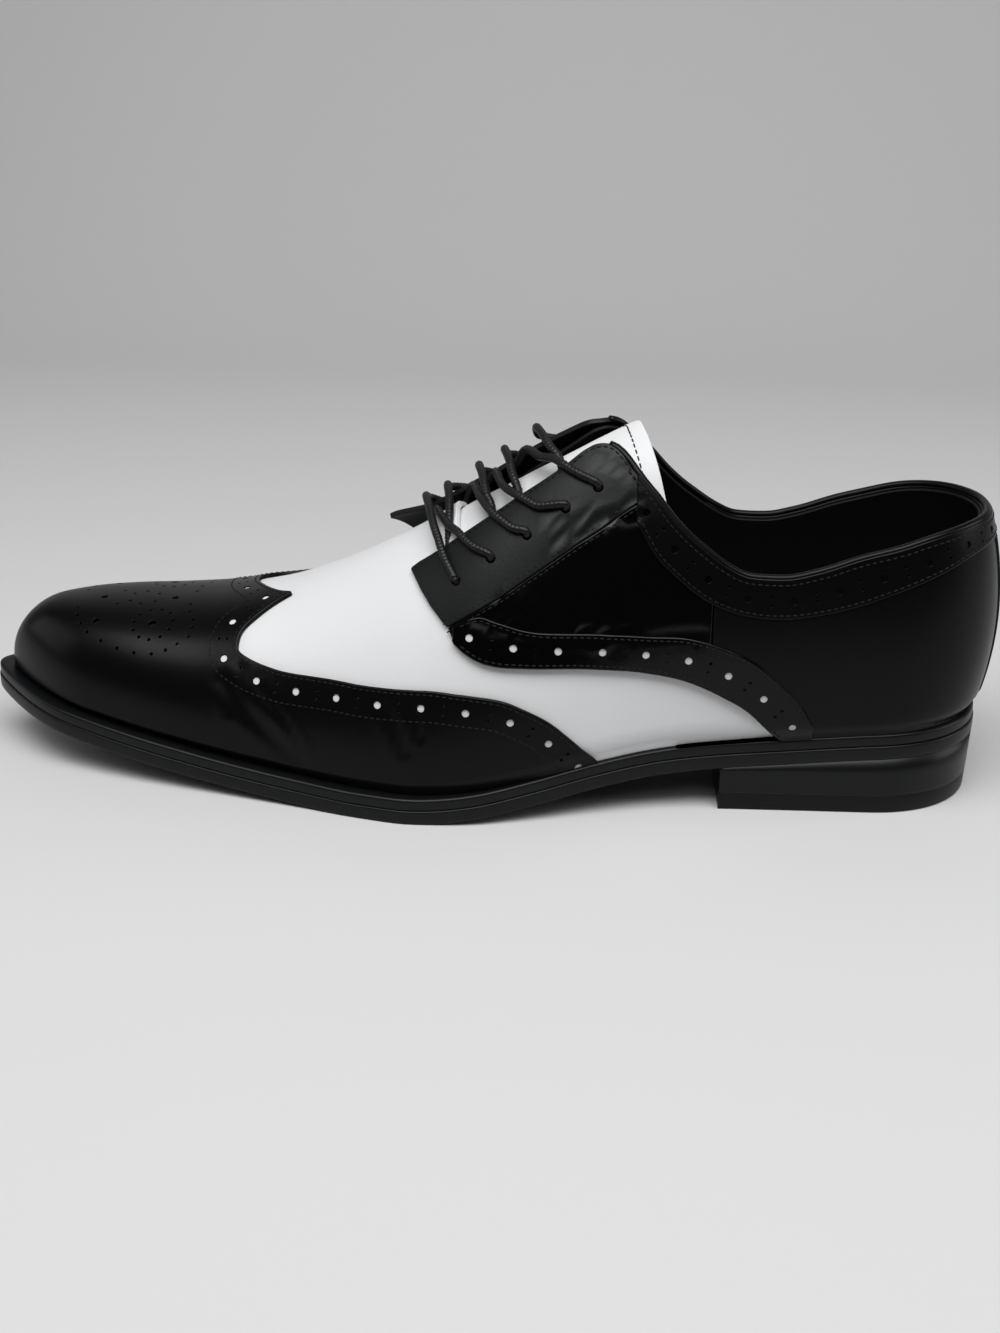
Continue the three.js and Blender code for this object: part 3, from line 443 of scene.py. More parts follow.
def make_object(name, points, faces, material, slot, vertex_normals=None, recalc=True, smooth_faces=True):
    mesh = bpy.data.meshes.new(name)
    mesh.from_pydata([tuple(p) for p in to_row(points)], [], [tuple(int(i) for i in f) for f in faces])
    if recalc:
        work = bmesh.new()
        work.from_mesh(mesh)
        bmesh.ops.recalc_face_normals(work, faces=work.faces)
        work.to_mesh(mesh)
        work.free()
    mesh.validate()
    if smooth_faces:
        mesh.shade_smooth()
    if vertex_normals is not None:
        turned = np.array(vertex_normals, float) * (-1, 1, 1)
        mesh.normals_split_custom_set_from_vertices([tuple(n) for n in turned])
    mesh.materials.append(material)
    piece = bpy.data.objects.new(name, mesh)
    bpy.context.scene.collection.objects.link(piece)
    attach(piece, "root")
    return piece


EDGE_ROUND = 0.45


def panel(name, chart, outline, low, high, material, slot, holes=(), pitch=2.2, hole_sides=14,
          extra=None, edge_round=EDGE_ROUND):
    """Leather panel over the last: a closed sheet with rounded edges and punched holes."""
    edge, _ = resample(chart, outline, 1.3, closed=True)
    soft, inward = inset(chart, edge, 0.55)
    mid, _ = inset(chart, edge, 0.16)
    rings = [(centre, radius, circle_on(chart, centre, radius + 0.12, hole_sides),
              circle_on(chart, centre, radius, hole_sides)) for centre, radius in holes]
    low_uv, high_uv = soft.min(axis=0), soft.max(axis=0)
    counts = [max(int((high_uv[k] - low_uv[k]) * chart.scale[k] / pitch), 2) for k in range(2)]
    grid = np.stack(np.meshgrid(*[np.linspace(low_uv[k], high_uv[k], counts[k] + 1) for k in range(2)],
                                indexing="ij"), -1).reshape(-1, 2)
    grid = grid[inside(soft, grid)]
    fixed = np.concatenate([soft] + [ring[2] for ring in rings])
    tree = kdtree.KDTree(len(fixed))
    fixed_points = chart.base(fixed)
    for i, point in enumerate(fixed_points):
        tree.insert(point, i)
    tree.balance()
    grid_points = chart.base(grid)
    keep = np.array([tree.find(point)[2] > 0.45 * pitch for point in grid_points], bool)
    for centre, radius, _, _ in rings:
        middle = chart.base(centre[None])[0]
        keep &= np.linalg.norm(grid_points - middle, axis=1) > radius + 0.5
    grid = grid[keep]
    flat = np.concatenate([fixed, grid])
    count = len(soft)
    edges = [(i, (i + 1) % count) for i in range(count)]
    start = count
    for ring in rings:
        edges += [(start + i, start + (i + 1) % hole_sides) for i in range(hole_sides)]
        start += hole_sides
    scaled = flat * np.array(chart.scale)
    result = delaunay_2d_cdt([Vector(p) for p in scaled], edges, [], 0, 1e-7)
    uv = np.array([tuple(v) for v in result[0]]) / np.array(chart.scale)
    triangles = np.array([f for f in result[2] if len(f) == 3])
    origin = {}
    for new, olds in enumerate(result[3]):
        for old in olds:
            origin[old] = new
    centres = uv[triangles].mean(axis=1)
    good = inside(soft, centres)
    for centre, radius, ring, _ in rings:
        near = np.abs(centres - centre).max(axis=1) < 0.1
        idx = np.nonzero(near & good)[0]
        if len(idx):
            good[idx[inside(ring, centres[idx])]] = False
    triangles = triangles[good]
    top = surface(chart, uv, high, extra=extra)
    bottom = surface(chart, uv, low, extra=extra)
    normal = surface_normals(chart, uv, extra)
    points = [top, bottom]
    vertex_normals = [normal, -normal]
    faces = [tuple(t) for t in triangles] + [tuple(t[::-1] + len(uv)) for t in triangles]
    base = 2 * len(uv)

    def ring_of(chart_uv, offset, direction):
        nonlocal base
        points.append(surface(chart, chart_uv, offset, extra=extra))
        vertex_normals.append(unit(direction))
        first = base
        base += len(chart_uv)
        return [first + i for i in range(len(chart_uv))]

    def join(a, b):
        n = len(a)
        for i in range(n):
            k = (i + 1) % n
            faces.append((a[i], a[k], b[k], b[i]))

    edge_normal = surface_normals(chart, edge)
    drop = min(edge_round, (high - low) * 0.45)
    top_ring = [origin[i] for i in range(count)]
    bottom_ring = [i + len(uv) for i in top_ring]
    middle_ring = ring_of(mid, high - 0.25 * drop, edge_normal - 0.9 * inward)
    outer_ring = ring_of(edge, high - drop, -inward + 0.15 * edge_normal)
    lower_ring = ring_of(edge, low, -inward)
    join(top_ring, middle_ring)
    join(middle_ring, outer_ring)
    join(outer_ring, lower_ring)
    join(lower_ring, bottom_ring)
    start = count
    for centre, radius, wide, tight in rings:
        hole_top = [origin[start + i] for i in range(hole_sides)]
        start += hole_sides
        middle = chart.base(centre[None])
        inwards = unit(middle - chart.base(tight))
        upper = ring_of(tight, high - 0.22, inwards + 0.3 * normals(chart, tight))
        lower = ring_of(tight, low, inwards)
        join(hole_top, upper)
        join(upper, lower)
        join(lower, [i + len(uv) for i in hole_top])
    return make_object(name, np.concatenate(points), faces, material, slot,
                       np.concatenate(vertex_normals))


def tube_mesh(points, radius, sides=8, normals_up=None):
    """Rings of a tube along 3-D points, as points and faces."""
    points = np.asarray(points, float)
    tangent = unit(np.gradient(points, axis=0))
    guide = np.array([0.0, 0.0, 1.0]) if normals_up is None else None
    rings = []
    for i, (point, direction) in enumerate(zip(points, tangent)):
        up = guide if guide is not None else normals_up[i]
        a = np.cross(direction, up)
        a = a / max(np.linalg.norm(a), 1e-9)
        b = np.cross(direction, a)
        r = radius[i] if np.ndim(radius) else radius
        turn = np.linspace(0, 2 * math.pi, sides, endpoint=False)[:, None]
        rings.append(point + r * (np.cos(turn) * a + np.sin(turn) * b))
    vertices = np.concatenate(rings)
    faces = []
    for i in range(len(points) - 1):
        for j in range(sides):
            k = (j + 1) % sides
            faces.append((i * sides + j, i * sides + k, (i + 1) * sides + k, (i + 1) * sides + j))
    faces.append(tuple(range(sides)))
    faces.append(tuple(range((len(points) - 1) * sides, len(points) * sides)))
    return vertices, faces


class Bundle:
    """Many small solids in one mesh."""

    def __init__(self):
        self.points, self.faces, self.count = [], [], 0

    def add(self, points, faces):
        self.points.append(points)
        self.faces += [tuple(i + self.count for i in face) for face in faces]
        self.count += len(points)

    def make(self, name, material, slot):
        return make_object(name, np.concatenate(self.points), self.faces, material, slot)


def stitch_row(bundle, chart, line, offset, pitch=2.0, length=1.45, radius=0.25, extra=None):
    at, total = resample(chart, line, pitch)
    centres = surface(chart, at, offset, extra=extra)
    tangent = unit(np.gradient(chart.base(at), axis=0))
    normal = normals(chart, at)
    profile = np.array([-1, -0.8, -0.35, 0.35, 0.8, 1.0])
    width = np.array([0.35, 0.85, 1.0, 1.0, 0.85, 0.35])
    sink = np.array([0.35, 0.1, 0.0, 0.0, 0.1, 0.35])
    for centre, direction, up in zip(centres, tangent, normal):
        path = (centre + np.outer(profile * length / 2, direction)
                - np.outer(sink * radius * 2, up))
        bundle.add(*tube_mesh(path, radius * width, sides=6, normals_up=[up] * len(path)))


# Materials
def leather(name, colour, roughness, grain=0.0004, strength=0.12, coat=0.0, specular=0.5,
            mottling=0.0, wrinkle=0.0):
    material = bpy.data.materials.new(name)
    material.use_nodes = True
    tree = material.node_tree
    shader = tree.nodes["Principled BSDF"]
    shader.inputs["Base Color"].default_value = (*colour, 1)
    shader.inputs["Roughness"].default_value = roughness
    shader.inputs["Specular IOR Level"].default_value = specular
    shader.inputs["Coat Weight"].default_value = coat
    shader.inputs["Coat Roughness"].default_value = 0.08
    where = tree.nodes.new("ShaderNodeTexCoord")
    noise = tree.nodes.new("ShaderNodeTexNoise")
    noise.inputs["Scale"].default_value = 1 / grain / 3
    noise.inputs["Detail"].default_value = 4
    tree.links.new(where.outputs["Object"], noise.inputs["Vector"])
    bump = tree.nodes.new("ShaderNodeBump")
    bump.inputs["Strength"].default_value = strength
    bump.inputs["Distance"].default_value = 0.0002
    tree.links.new(noise.outputs["Fac"], bump.inputs["Height"])
    last = bump
    if wrinkle:
        broad = tree.nodes.new("ShaderNodeTexNoise")
        broad.inputs["Scale"].default_value = 110
        broad.inputs["Detail"].default_value = 2
        tree.links.new(where.outputs["Object"], broad.inputs["Vector"])
        bump2 = tree.nodes.new("ShaderNodeBump")
        bump2.inputs["Strength"].default_value = wrinkle
        bump2.inputs["Distance"].default_value = 0.001
        tree.links.new(broad.outputs["Fac"], bump2.inputs["Height"])
        tree.links.new(bump.outputs["Normal"], bump2.inputs["Normal"])
        last = bump2
    tree.links.new(last.outputs["Normal"], shader.inputs["Normal"])
    return material


black_smooth = leather("black_smooth", (0.0016, 0.0016, 0.0018), 0.31, strength=0.10, specular=0.14)
black_gloss = leather("black_gloss", (0.0010, 0.0009, 0.0009), 0.18, strength=0.05, specular=0.20, wrinkle=0.12)
# Matte black with a teal tint: the leather's own dark tone plus a painted reflection.
black_matte = leather("black_matte", (0.0050, 0.0065, 0.0062), 0.40, strength=0.2, specular=0.20)
white_leather = leather("white_leather", (0.64, 0.65, 0.66), 0.45, strength=0.15, specular=0.3)
lining_leather = leather("lining_leather", (0.003, 0.003, 0.003), 0.55, specular=0.15)
sole_leather = leather("sole_leather", (0.0035, 0.0040, 0.0045), 0.36, strength=0.06, specular=0.22)
lift_rubber = leather("lift_rubber", (0.0025, 0.0027, 0.003), 0.42, specular=0.2)
# Near-black with no gloss: painted shade for the seat line at the heel.
groove_black = leather("groove_black", (0.0004, 0.0004, 0.0004), 0.9, specular=0.0)
black_thread = leather("black_thread", (0.003, 0.003, 0.003), 0.5, specular=0.2)
lace_cord = leather("lace_cord", (0.004, 0.004, 0.004), 0.42, strength=0.5, specular=0.3)

# Camera
CAMERA_AT = (HEEL_BACK_X - 128.2, -501.8 + SIDE_SHIFT, 246.0)
YAW, PITCH, ROLL = math.radians(-2.71), math.radians(23.1), math.radians(0.65)
FOCAL_PIXELS = 1684
PHOTO_HEIGHT = 1333
SENSOR = 36
ahead = Vector((math.sin(YAW) * math.cos(PITCH), math.cos(YAW) * math.cos(PITCH), -math.sin(PITCH)))
right = Vector((math.cos(YAW), -math.sin(YAW), 0))
above = right.cross(ahead)
rolled_right = right * math.cos(ROLL) + above * math.sin(ROLL)
rolled_above = above * math.cos(ROLL) - right * math.sin(ROLL)
lens = bpy.data.cameras.new("camera")
lens.lens = FOCAL_PIXELS / PHOTO_HEIGHT * SENSOR
lens.sensor_width = SENSOR
lens.clip_start = 0.01
camera = bpy.data.objects.new("camera", lens)
turn = Matrix((rolled_right, rolled_above, -ahead)).transposed().to_4x4()
camera.matrix_world = Matrix.Translation(Vector(CAMERA_AT) * MM) @ turn
bpy.context.scene.collection.objects.link(camera)
bpy.context.scene.camera = camera


def lines(*parts):
    return np.array([(float(share_of(along)), value) for along, value in parts], float)


def span_rows(start, stop, count, value):
    return [(a, float(value(a))) for a in np.linspace(start, stop, count)]


def along_of(share):
    return (BACK_INSET + SPAN * (1 - np.cos(np.pi * np.clip(share, 0, 1))) / 2) / SHOE_LENGTH


def flap_lift(uv):
    girth = 1 - np.abs(uv[..., 1])
    return FLAP_LIFT * flap_rise(along_of(uv[..., 0])) * smooth((girth - 0.5) / 0.26)


def punched_row(chart, line, pitch=13.6, big=1.15, small=0.45, spread=1.35):
    """Large holes at an even pitch with a pair of small ones between."""
    at, _ = resample(chart, line, pitch / 2)
    _, left, _ = along_line(chart, at, 0)
    holes = []
    for i, (centre, direction) in enumerate(zip(at, left)):
        if i % 2 == 0:
            holes.append((centre, big))
        else:
            for sign in (-1, 1):
                holes.append((shifted(chart, centre[None], sign * spread * direction[None])[0], small))
    return holes


def discs_under(name, chart, holes, offset, radius=1.7, least=0.9):
    """White leather inside a layer, seen through its large holes."""
    points, faces = [], []
    for centre, hole in holes:
        if hole > least:
            ring = surface(chart, circle_on(chart, centre, radius, 12), offset)
            faces.append(tuple(range(len(points), len(points) + 12)))
            points += list(ring)
    return make_object(name, np.array(points), faces, white_leather, "white")


def inner_line(chart, line, distance, rim):
    """Parallel to a line, without the part that comes nearer than its distance to the rim."""
    at, _ = resample(chart, line, 0.8)
    beside = parallel(chart, at, distance)
    rim_points = chart.base(resample(chart, rim, 0.8)[0])
    points = chart.base(beside)
    gap = np.array([np.linalg.norm(rim_points - point, axis=1).min() for point in points])
    return beside[gap > abs(distance) * 0.96]


# Layers over the bare wall of the upper
LAYER_ONE, LAYER_ONE_TOP = 0.15, 1.5
LAYER_TWO, LAYER_TWO_TOP = 1.0, 2.1
FEATHER = 1.004


def wing_outline():
    overs = np.linspace(-FEATHER, FEATHER, 161)
    rear = [(share_of(float(wing_edge(o))), o) for o in overs]
    front = [(0.999, o) for o in np.linspace(FEATHER, -FEATHER, 25)]
    return np.array(rear + front, float)


def over_edges(start, stop, edge, count=60):
    """Outline over the crest between the edges of both sides."""
    outer = [(share_of(a), -(1 - float(edge(a)))) for a in np.linspace(start, stop, count)]
    inner = [(share_of(a), 1 - float(edge(a))) for a in np.linspace(stop, start, count)]
    return np.array(outer + inner, float)


def side_uv(rows, side):
    """Points of along and edge on one side, in the chart over the shoe."""
    return np.array([(float(share_of(along)), side * (1 - edge)) for along, edge in rows], float)


def wrap_uv(rows, side):
    return np.array([(side * float(share_of(along)), edge) for along, edge in rows], float)


# Vamp: the white front of the upper, open at the throat
VAMP_REAR, VAMP_FRONT = 0.30, 0.80
TIP_AHEAD = 0.03
VAMP_TAIL = [(0.298, 0.45), (0.295, 0.35), (0.29, 0.235), (0.262, 0.195), (0.232, 0.15), (0.207, 0.09),
             (0.19, 0.03), (0.181, -0.02)]
THROAT_END = 0.515
VAMP_UNDER_FACING = 0.54
throat_out = side_uv([(a, min(VAMP_UNDER_FACING, float(collar(a)) - 0.05)) for a in np.linspace(VAMP_REAR, THROAT_END - 0.015, 40)], -1)
throat_round = [(0.507, 0.62), (0.510, 0.70), (0.513, 0.80), (0.517, 0.86), (0.518, 0.93), (0.519, 1.0)]
outline = np.concatenate([
    throat_out, side_uv(throat_round, -1), side_uv(throat_round[-2::-1], 1),
    throat_out[::-1] * (1, -1),
    side_uv(VAMP_TAIL, 1),
    side_uv([(a, -0.004) for a in np.linspace(0.18, VAMP_FRONT, 80)], 1),
    np.array([(float(share_of(VAMP_FRONT)), o) for o in np.linspace(1.0, -1.0, 50)]),
    side_uv([(a, -0.004) for a in np.linspace(VAMP_FRONT, 0.18, 80)], -1),
    side_uv(VAMP_TAIL[::-1], -1)])
vamp = panel("vamp", OVER, outline, -1.9, 0, white_leather, "white", pitch=2.4)

outline = np.concatenate([
    np.array([(float(share_of(0.802)), o) for o in np.linspace(-1, 1, 60)]),
    np.array([(0.999, o) for o in np.linspace(1, -1, 25)])])
toe_box = panel("toe_box", OVER, outline, -1.9, 0, black_matte, "black_matte", pitch=3)

WING_TIP = -0.118
wing_halves = []
for start, stop in ((-0.975, WING_TIP), (WING_TIP, 0.975)):
    wing_halves.append(np.array([(float(share_of(float(wing_edge(o)))), o)
                                 for o in np.linspace(start, stop, 90)]))
wing_rim = np.concatenate(wing_halves)
wing_holes = []
for half in wing_halves:
    row = inner_line(OVER, half, -5.3, wing_rim)
    wing_holes += punched_row(OVER, row)
discs_under("wing_hole_backs", OVER, wing_holes, 1.0)
# Medallion on the toe: along, over, radius
MEDALLION_MIDDLE = -0.042
BESIDE = [(0.819, 0.247, 1.2), (0.877, 0.270, 1.15)]
MEDALLION = [(0.805, 0, 1.1), (0.879, 0, 1.1)] + [(a, sign * o, r) for a, o, r in BESIDE for sign in (-1, 1)]
ARC = [(0.784, 0.135), (0.778, 0.20), (0.777, 0.26), (0.779, 0.326), (0.789, 0.380), (0.800, 0.426), (0.814, 0.463),
       (0.832, 0.475), (0.850, 0.465), (0.868, 0.430), (0.884, 0.375), (0.893, 0.305), (0.899, 0.22), (0.902, 0.13),
       (0.786, 0.07), (0.850, 0.045), (0.862, 0.085), (0.838, 0.075), (0.824, 0.045)]
RING_COUNT, RING_RADIUS, DOT = 11, 6.4, 0.52
medallion = [(np.array([float(share_of(a)), MEDALLION_MIDDLE + o]), r) for a, o, r in MEDALLION]
for turned in (-1, 1):
    centre = np.array([float(share_of(BESIDE[0][0])), MEDALLION_MIDDLE + turned * BESIDE[0][1]])
    medallion += [(dot, DOT) for dot in circle_on(OVER, centre, RING_RADIUS, RING_COUNT)]
    medallion += [(np.array([float(share_of(a)), MEDALLION_MIDDLE + turned * o]), DOT) for a, o in ARC]
wing = panel("wing_cap_leather", OVER, wing_outline(), LAYER_ONE, LAYER_ONE_TOP, black_smooth, "black_smooth",
             pitch=1.4, holes=wing_holes + medallion, hole_sides=12)
seams = Bundle()
for half in wing_halves:
    stitch_row(seams, OVER, inner_line(OVER, half, -1.3, wing_rim), LAYER_ONE_TOP)
    stitch_row(seams, OVER, inner_line(OVER, half, -9.4, wing_rim), LAYER_ONE_TOP)
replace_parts(wing, "wing_cap")

# Rear of the upper: a lining all round and black leather over it
def heel_outline(reach, low, high, count=90):
    places = np.linspace(-1, 1, count)
    shares = places * float(share_of(reach))
    alongs = (BACK_INSET + SPAN * (1 - np.cos(np.pi * np.abs(shares))) / 2) / SHOE_LENGTH
    lower = np.stack([shares, low(alongs)], -1)
    upper = np.stack([shares, high(alongs)], -1)[::-1]
    return np.concatenate([lower, upper])


def counter_low(along):
    return np.where(along < 0.205, -0.004, lower_low(along) + 0.006)


lining = panel("lining", WRAP, heel_outline(0.60, lambda a: 0 * a, lambda a: collar(a) - 0.004, 140),
               -2.2, -1.0, lining_leather, "lining", pitch=3)
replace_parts(lining, "upper")
counter = panel("heel_counter_leather", WRAP,
                heel_outline(0.272, counter_low, collar), -1.0, LAYER_ONE_TOP, black_smooth,
                "black_smooth", pitch=2.4)
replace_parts(counter, "heel_counter")
band_outline = heel_outline(0.347, band_low, collar, 140)
topline = heel_outline(0.349, band_low, collar, 140)[140:]
band_edge = heel_outline(0.347, band_low, collar, 140)[:140]
band_middle = heel_outline(0.338, lambda a: 0.5 * (band_low(a) + collar(a)) - 0.004, collar, 140)[:140]
collar_band = panel("collar_band_leather", WRAP, band_outline, LAYER_TWO, LAYER_TWO_TOP, black_smooth,
                    "black_smooth", pitch=2.2, holes=punched_row(WRAP, band_middle, 13.4), hole_sides=12)
stitch_row(seams, WRAP, parallel(WRAP, resample(WRAP, band_edge, 1)[0], -1.2), LAYER_TWO_TOP)
stitch_row(seams, WRAP, parallel(WRAP, resample(WRAP, topline, 1)[0], -1.9), LAYER_TWO_TOP)
piping_line = resample(WRAP, heel_outline(0.372, band_low, collar, 200)[200:], 1.2)[0]
piping_path = surface(WRAP, piping_line, 0.6)
piping = make_object("topline_piping", *tube_mesh(piping_path, 1.25, sides=12), black_smooth, "black_smooth")
strip = heel_outline(0.0095, lambda a: 0 * a, lambda a: band_low(a) - 0.006, 12)
backstay = panel("backstay_leather", WRAP, strip, LAYER_ONE_TOP - 0.1, LAYER_TWO_TOP, black_matte, "black_matte")
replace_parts(backstay, "backstay")
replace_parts(collar_band, "collar_band")

for side, label in ((-1, "lateral"), (1, "medial")):
    top = [(a, float(collar(a))) for a in np.linspace(0.273, 0.332, 20)] + FACING_EDGE[1:]
    low = [(a, float(lower_low(a)) + 0.006) for a in np.linspace(0.512, 0.273, 30)]
    quarter = panel(f"quarter_{label}_leather", OVER, side_uv(top + low, side), LAYER_ONE, LAYER_ONE_TOP,
                    black_gloss, "black_gloss", pitch=2.2)
    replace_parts(quarter, f"quarter_{label}")
    tip = TIP_AHEAD if side > 0 else 0
    front = [(a + tip * (e - 0.49) / 0.26, e) for a, e in FACING_FRONT[1:]]
    throat = [(a + tip * float(smooth((a - 0.42) / 0.13)), float(collar(a)))
              for a in np.linspace(0.548, 0.334, 40)]
    facing = panel(f"facing_{label}_leather", OVER,
                   side_uv(FACING_EDGE + front + throat, side), -0.1, LAYER_ONE_TOP + 0.1,
                   black_matte, "black_matte", holes=[(side_uv([e], side)[0], 1.5) for e in EYELETS],
                   pitch=2.2, extra=flap_lift if side > 0 else None)
    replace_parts(facing, f"facing_{label}")
    lifted = flap_lift if side > 0 else None
    rim = side_uv(front + throat[:-3], side)
    stitch_row(seams, OVER, parallel(OVER, resample(OVER, rim, 1)[0], -1.3 * side), LAYER_ONE_TOP + 0.1,
               extra=lifted)
    seam = resample(OVER, side_uv(FACING_EDGE, side), 1)[0]
    for beside in (-1.3, 1.3):
        stitch_row(seams, OVER, parallel(OVER, seam, beside * side), LAYER_ONE_TOP)
    band_rows = [(a, max(float(lower_low(a)), -0.004)) for a in np.linspace(0.171, 0.513, 60)]
    band_rows += [(a, float(lower_high(a))) for a in np.linspace(0.5129, 0.171, 60)]
    band_holes = punched_row(OVER, side_uv([(a, 0.5 * float(lower_low(a) + lower_high(a)))
                                            for a in np.linspace(0.497, 0.192, 60)], side))
    lower = panel(f"lower_band_{label}_leather", OVER, side_uv(band_rows, side), LAYER_TWO, LAYER_TWO_TOP,
                  black_gloss, "black_gloss", pitch=2.0, hole_sides=12,
                  holes=band_holes)
    discs_under(f"band_hole_backs_{label}", OVER, band_holes, 1.65)
    for value, stop, beside in ((lower_low, 0.207, 1.2), (lower_high, 0.18, -1.2)):
        rim = side_uv([(a, float(value(a))) for a in np.linspace(0.505, stop, 80)], side)
        stitch_row(seams, OVER, parallel(OVER, resample(OVER, rim, 1)[0], beside * side), LAYER_TWO_TOP)
    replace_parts(lower, f"lower_band_{label}")

# Tongue
TONGUE_HALF = 0.42
TONGUE_EDGE_LINE = curve([(-0.42, 0.318), (-0.32, 0.326), (-0.20, 0.336), (-0.09, 0.3435), (0, 0.348), (0.12, 0.366), (0.30, 0.395), (0.42, 0.40)])
TONGUE_DROP = curve([(0.33, 2.2), (0.345, 2.9), (0.36, 3.7), (0.385, 4.6), (0.42, 4.0), (0.45, 2.8), (0.48, 1.7), (0.508, 0.5), (0.53, 0)])


def tongue_drop(uv):
    """The tongue sinks between the facings, flatter than the last."""
    over = uv[..., 1]
    beside = np.where(over < 0, smooth((-over - 0.06) / 0.32), smooth((over - 0.45) / 0.2))
    return -TONGUE_DROP(along_of(uv[..., 0])) * (1 - beside)


tongue_top = [(float(TONGUE_EDGE_LINE(o)), o) for o in np.linspace(-0.42, 0.42, 50)]
tongue_front = [(0.56, o) for o in np.linspace(0.40, -0.40, 30)]
outline = np.array([(float(share_of(a)), o) for a, o in tongue_top + tongue_front])
tongue = panel("tongue_leather", OVER, outline, -WALL - 0.3 - 1.6, -WALL - 0.3, white_leather, "white", pitch=2.4,
               extra=tongue_drop)
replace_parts(tongue, "tongue")
stitch_row(seams, OVER, np.array([(float(share_of(a + 0.016)), o) for a, o in tongue_top[3:-3]]),
           -WALL - 0.3, pitch=2.6, length=1.8, extra=tongue_drop)
# Painted shade: a black strip round the heel seat, standing for the shadow between the upper and the welt, narrowing
# towards the front.
seat_groove = panel("seat_groove", WRAP, heel_outline(0.30, lambda a: 0 * a, lambda a: 0.003 + 0.025 * smooth((0.26 - a) / 0.24), 90),
                    -0.5, LAYER_ONE_TOP + 0.06, groove_black, "sole", pitch=3)
thread = seams.make("stitches", black_thread, "black_smooth")


# Sole
def footprint(share, side, inset_by, end=None):
    s = inset_by + (SHOE_LENGTH - 2 * inset_by) * (1 - np.cos(np.pi * share)) / 2
    along = s / SHOE_LENGTH
    out, inn = out_width(along) * BALL_WIDTH, in_width(along) * BALL_WIDTH
    ends = (rounded(SHOE_LENGTH - inset_by - s, TOE_ROUND, TOE_POWER)
            * rounded(s - inset_by, HEEL_ROUND, HEEL_POWER))
    y = (inn - out) / 2 + side * ((out + inn) / 2 - inset_by) * ends
    return s, y, along


def sole_piece(name, profile, material, slot, count=150):
    shares = np.linspace(0, 1, count)
    columns = []
    for inset_by, height in profile:
        for_side = []
        for side in (-1, 1):
            s, y, along = footprint(shares, side, inset_by)
            for_side.append(np.stack([s, y, sole_under(along) + height], -1))
        columns.append(for_side)
    ring = [c[0] for c in columns] + [c[1] for c in columns[::-1]]
    points = np.stack(ring, axis=1)
    n = points.shape[1]
    faces = []
    for i in range(count - 1):
        for j in range(n):
            k = (j + 1) % n
            faces.append((i * n + j, i * n + k, (i + 1) * n + k, (i + 1) * n + j))
    mesh_points = points.reshape(-1, 3)
    piece = make_object(name, mesh_points, faces, material, slot)
    work = bmesh.new()
    work.from_mesh(piece.data)
    bmesh.ops.remove_doubles(work, verts=work.verts, dist=1e-6)
    bmesh.ops.recalc_face_normals(work, faces=work.faces)
    work.to_mesh(piece.data)
    work.free()
    piece.data.shade_smooth()
    return piece


OUTSOLE_PROFILE = [(3.0, 0), (0.35, 0), (0.12, 0.08), (0, 0.3), (0, 1.2), (0, 3.8), (0.1, 4.2),
                   (0.35, 4.38), (0.7, 4.4), (12.3, 4.4), (12.3, 8.1)]
WELT_PROFILE = [(12, 4.5), (0.8, 4.5), (0.55, 4.55), (0.4, 4.75), (0.4, 5.4), (0.4, 7.2), (0.5, 7.65),
                (0.8, 8.0), (1.3, 8.17), (3.2, 8.2), (12, 8.2)]
outsole = sole_piece("outsole_leather", OUTSOLE_PROFILE, sole_leather, "sole")
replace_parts(outsole, "outsole")
welt = sole_piece("welt_leather", WELT_PROFILE, sole_leather, "sole")
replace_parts(welt, "welt")

HEEL_TAPER = 0.7
HEEL_IN = 0.06


def heel_block(name, heights, material, slot):
    """Heel slice: rows of height and share of the way up to the sole."""
    shares = np.linspace(0, 1, 90)
    s = HEEL_IN + (HEEL_LENGTH - HEEL_IN) * (1 - np.cos(np.pi * shares / 2))
    along = s / SHOE_LENGTH
    columns = {}
    for side in (-1, 1):
        stack = []
        for z, pull in heights:
            level = z if z is not None else sole_under(along) - 0.05
            share = np.clip(np.asarray(level, float) / SEAT_HEIGHT, 0, 1)
            taper = HEEL_TAPER * (1 - share) ** 1.2 + pull
            out, inn = out_width(along) * BALL_WIDTH, in_width(along) * BALL_WIDTH
            fade = np.clip(1 - s / HEEL_LENGTH, 0, 1)
            end = rounded(s - HEEL_IN, HEEL_ROUND, HEEL_POWER)
            half = (out + inn) / 2 - HEEL_IN - taper * (0.35 + 0.65 * fade)
            y = (inn - out) / 2 + side * half * end
            stack.append(np.stack([s + taper * fade, y, level + 0 * s], -1))
        columns[side] = stack
    ring = columns[-1] + columns[1][::-1]
    points = np.stack(ring, axis=1)
    n = points.shape[1]
    faces = [(i * n + j, i * n + (j + 1) % n, (i + 1) * n + (j + 1) % n, (i + 1) * n + j)
             for i in range(len(s) - 1) for j in range(n)]
    faces.append(tuple((len(s) - 1) * n + j for j in range(n)))
    piece = make_object(name, points.reshape(-1, 3), faces, material, slot, smooth_faces=False)
    for face in piece.data.polygons:
        face.use_smooth = len(face.vertices) < 5
    return piece


heel_piece = heel_block("heel_stack", [(LIFT_THICK + 0.04, 0.08), (LIFT_THICK + 0.2, 0), (LIFT_THICK + 1, 0),
                                       (13.0, 0), (None, 0)], sole_leather, "sole")
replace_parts(heel_piece, "heel")
lift_piece = heel_block("heel_lift", [(0.0, 0.4), (0.3, 0.1), (0.6, 0), (5.8, 0), (5.96, 0.08)], lift_rubber, "lift")
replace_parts(lift_piece, "heel_top_lift")
for node, material in (("insole", lining_leather),):
    owner = bpy.data.objects[node]
    for index in range(max(len(owner.material_slots), 1)):
        if owner.material_slots:
            owner.material_slots[index].material = material
        else:
            owner.data.materials.append(material)

LACE_RADIUS = 1.25
ON_FLAP = LAYER_ONE_TOP + 0.1 + LACE_RADIUS + 0.05
BRAID_TURNS, BRAID_PITCH, BRAID_DEPTH = 4, 2.6, 0.13


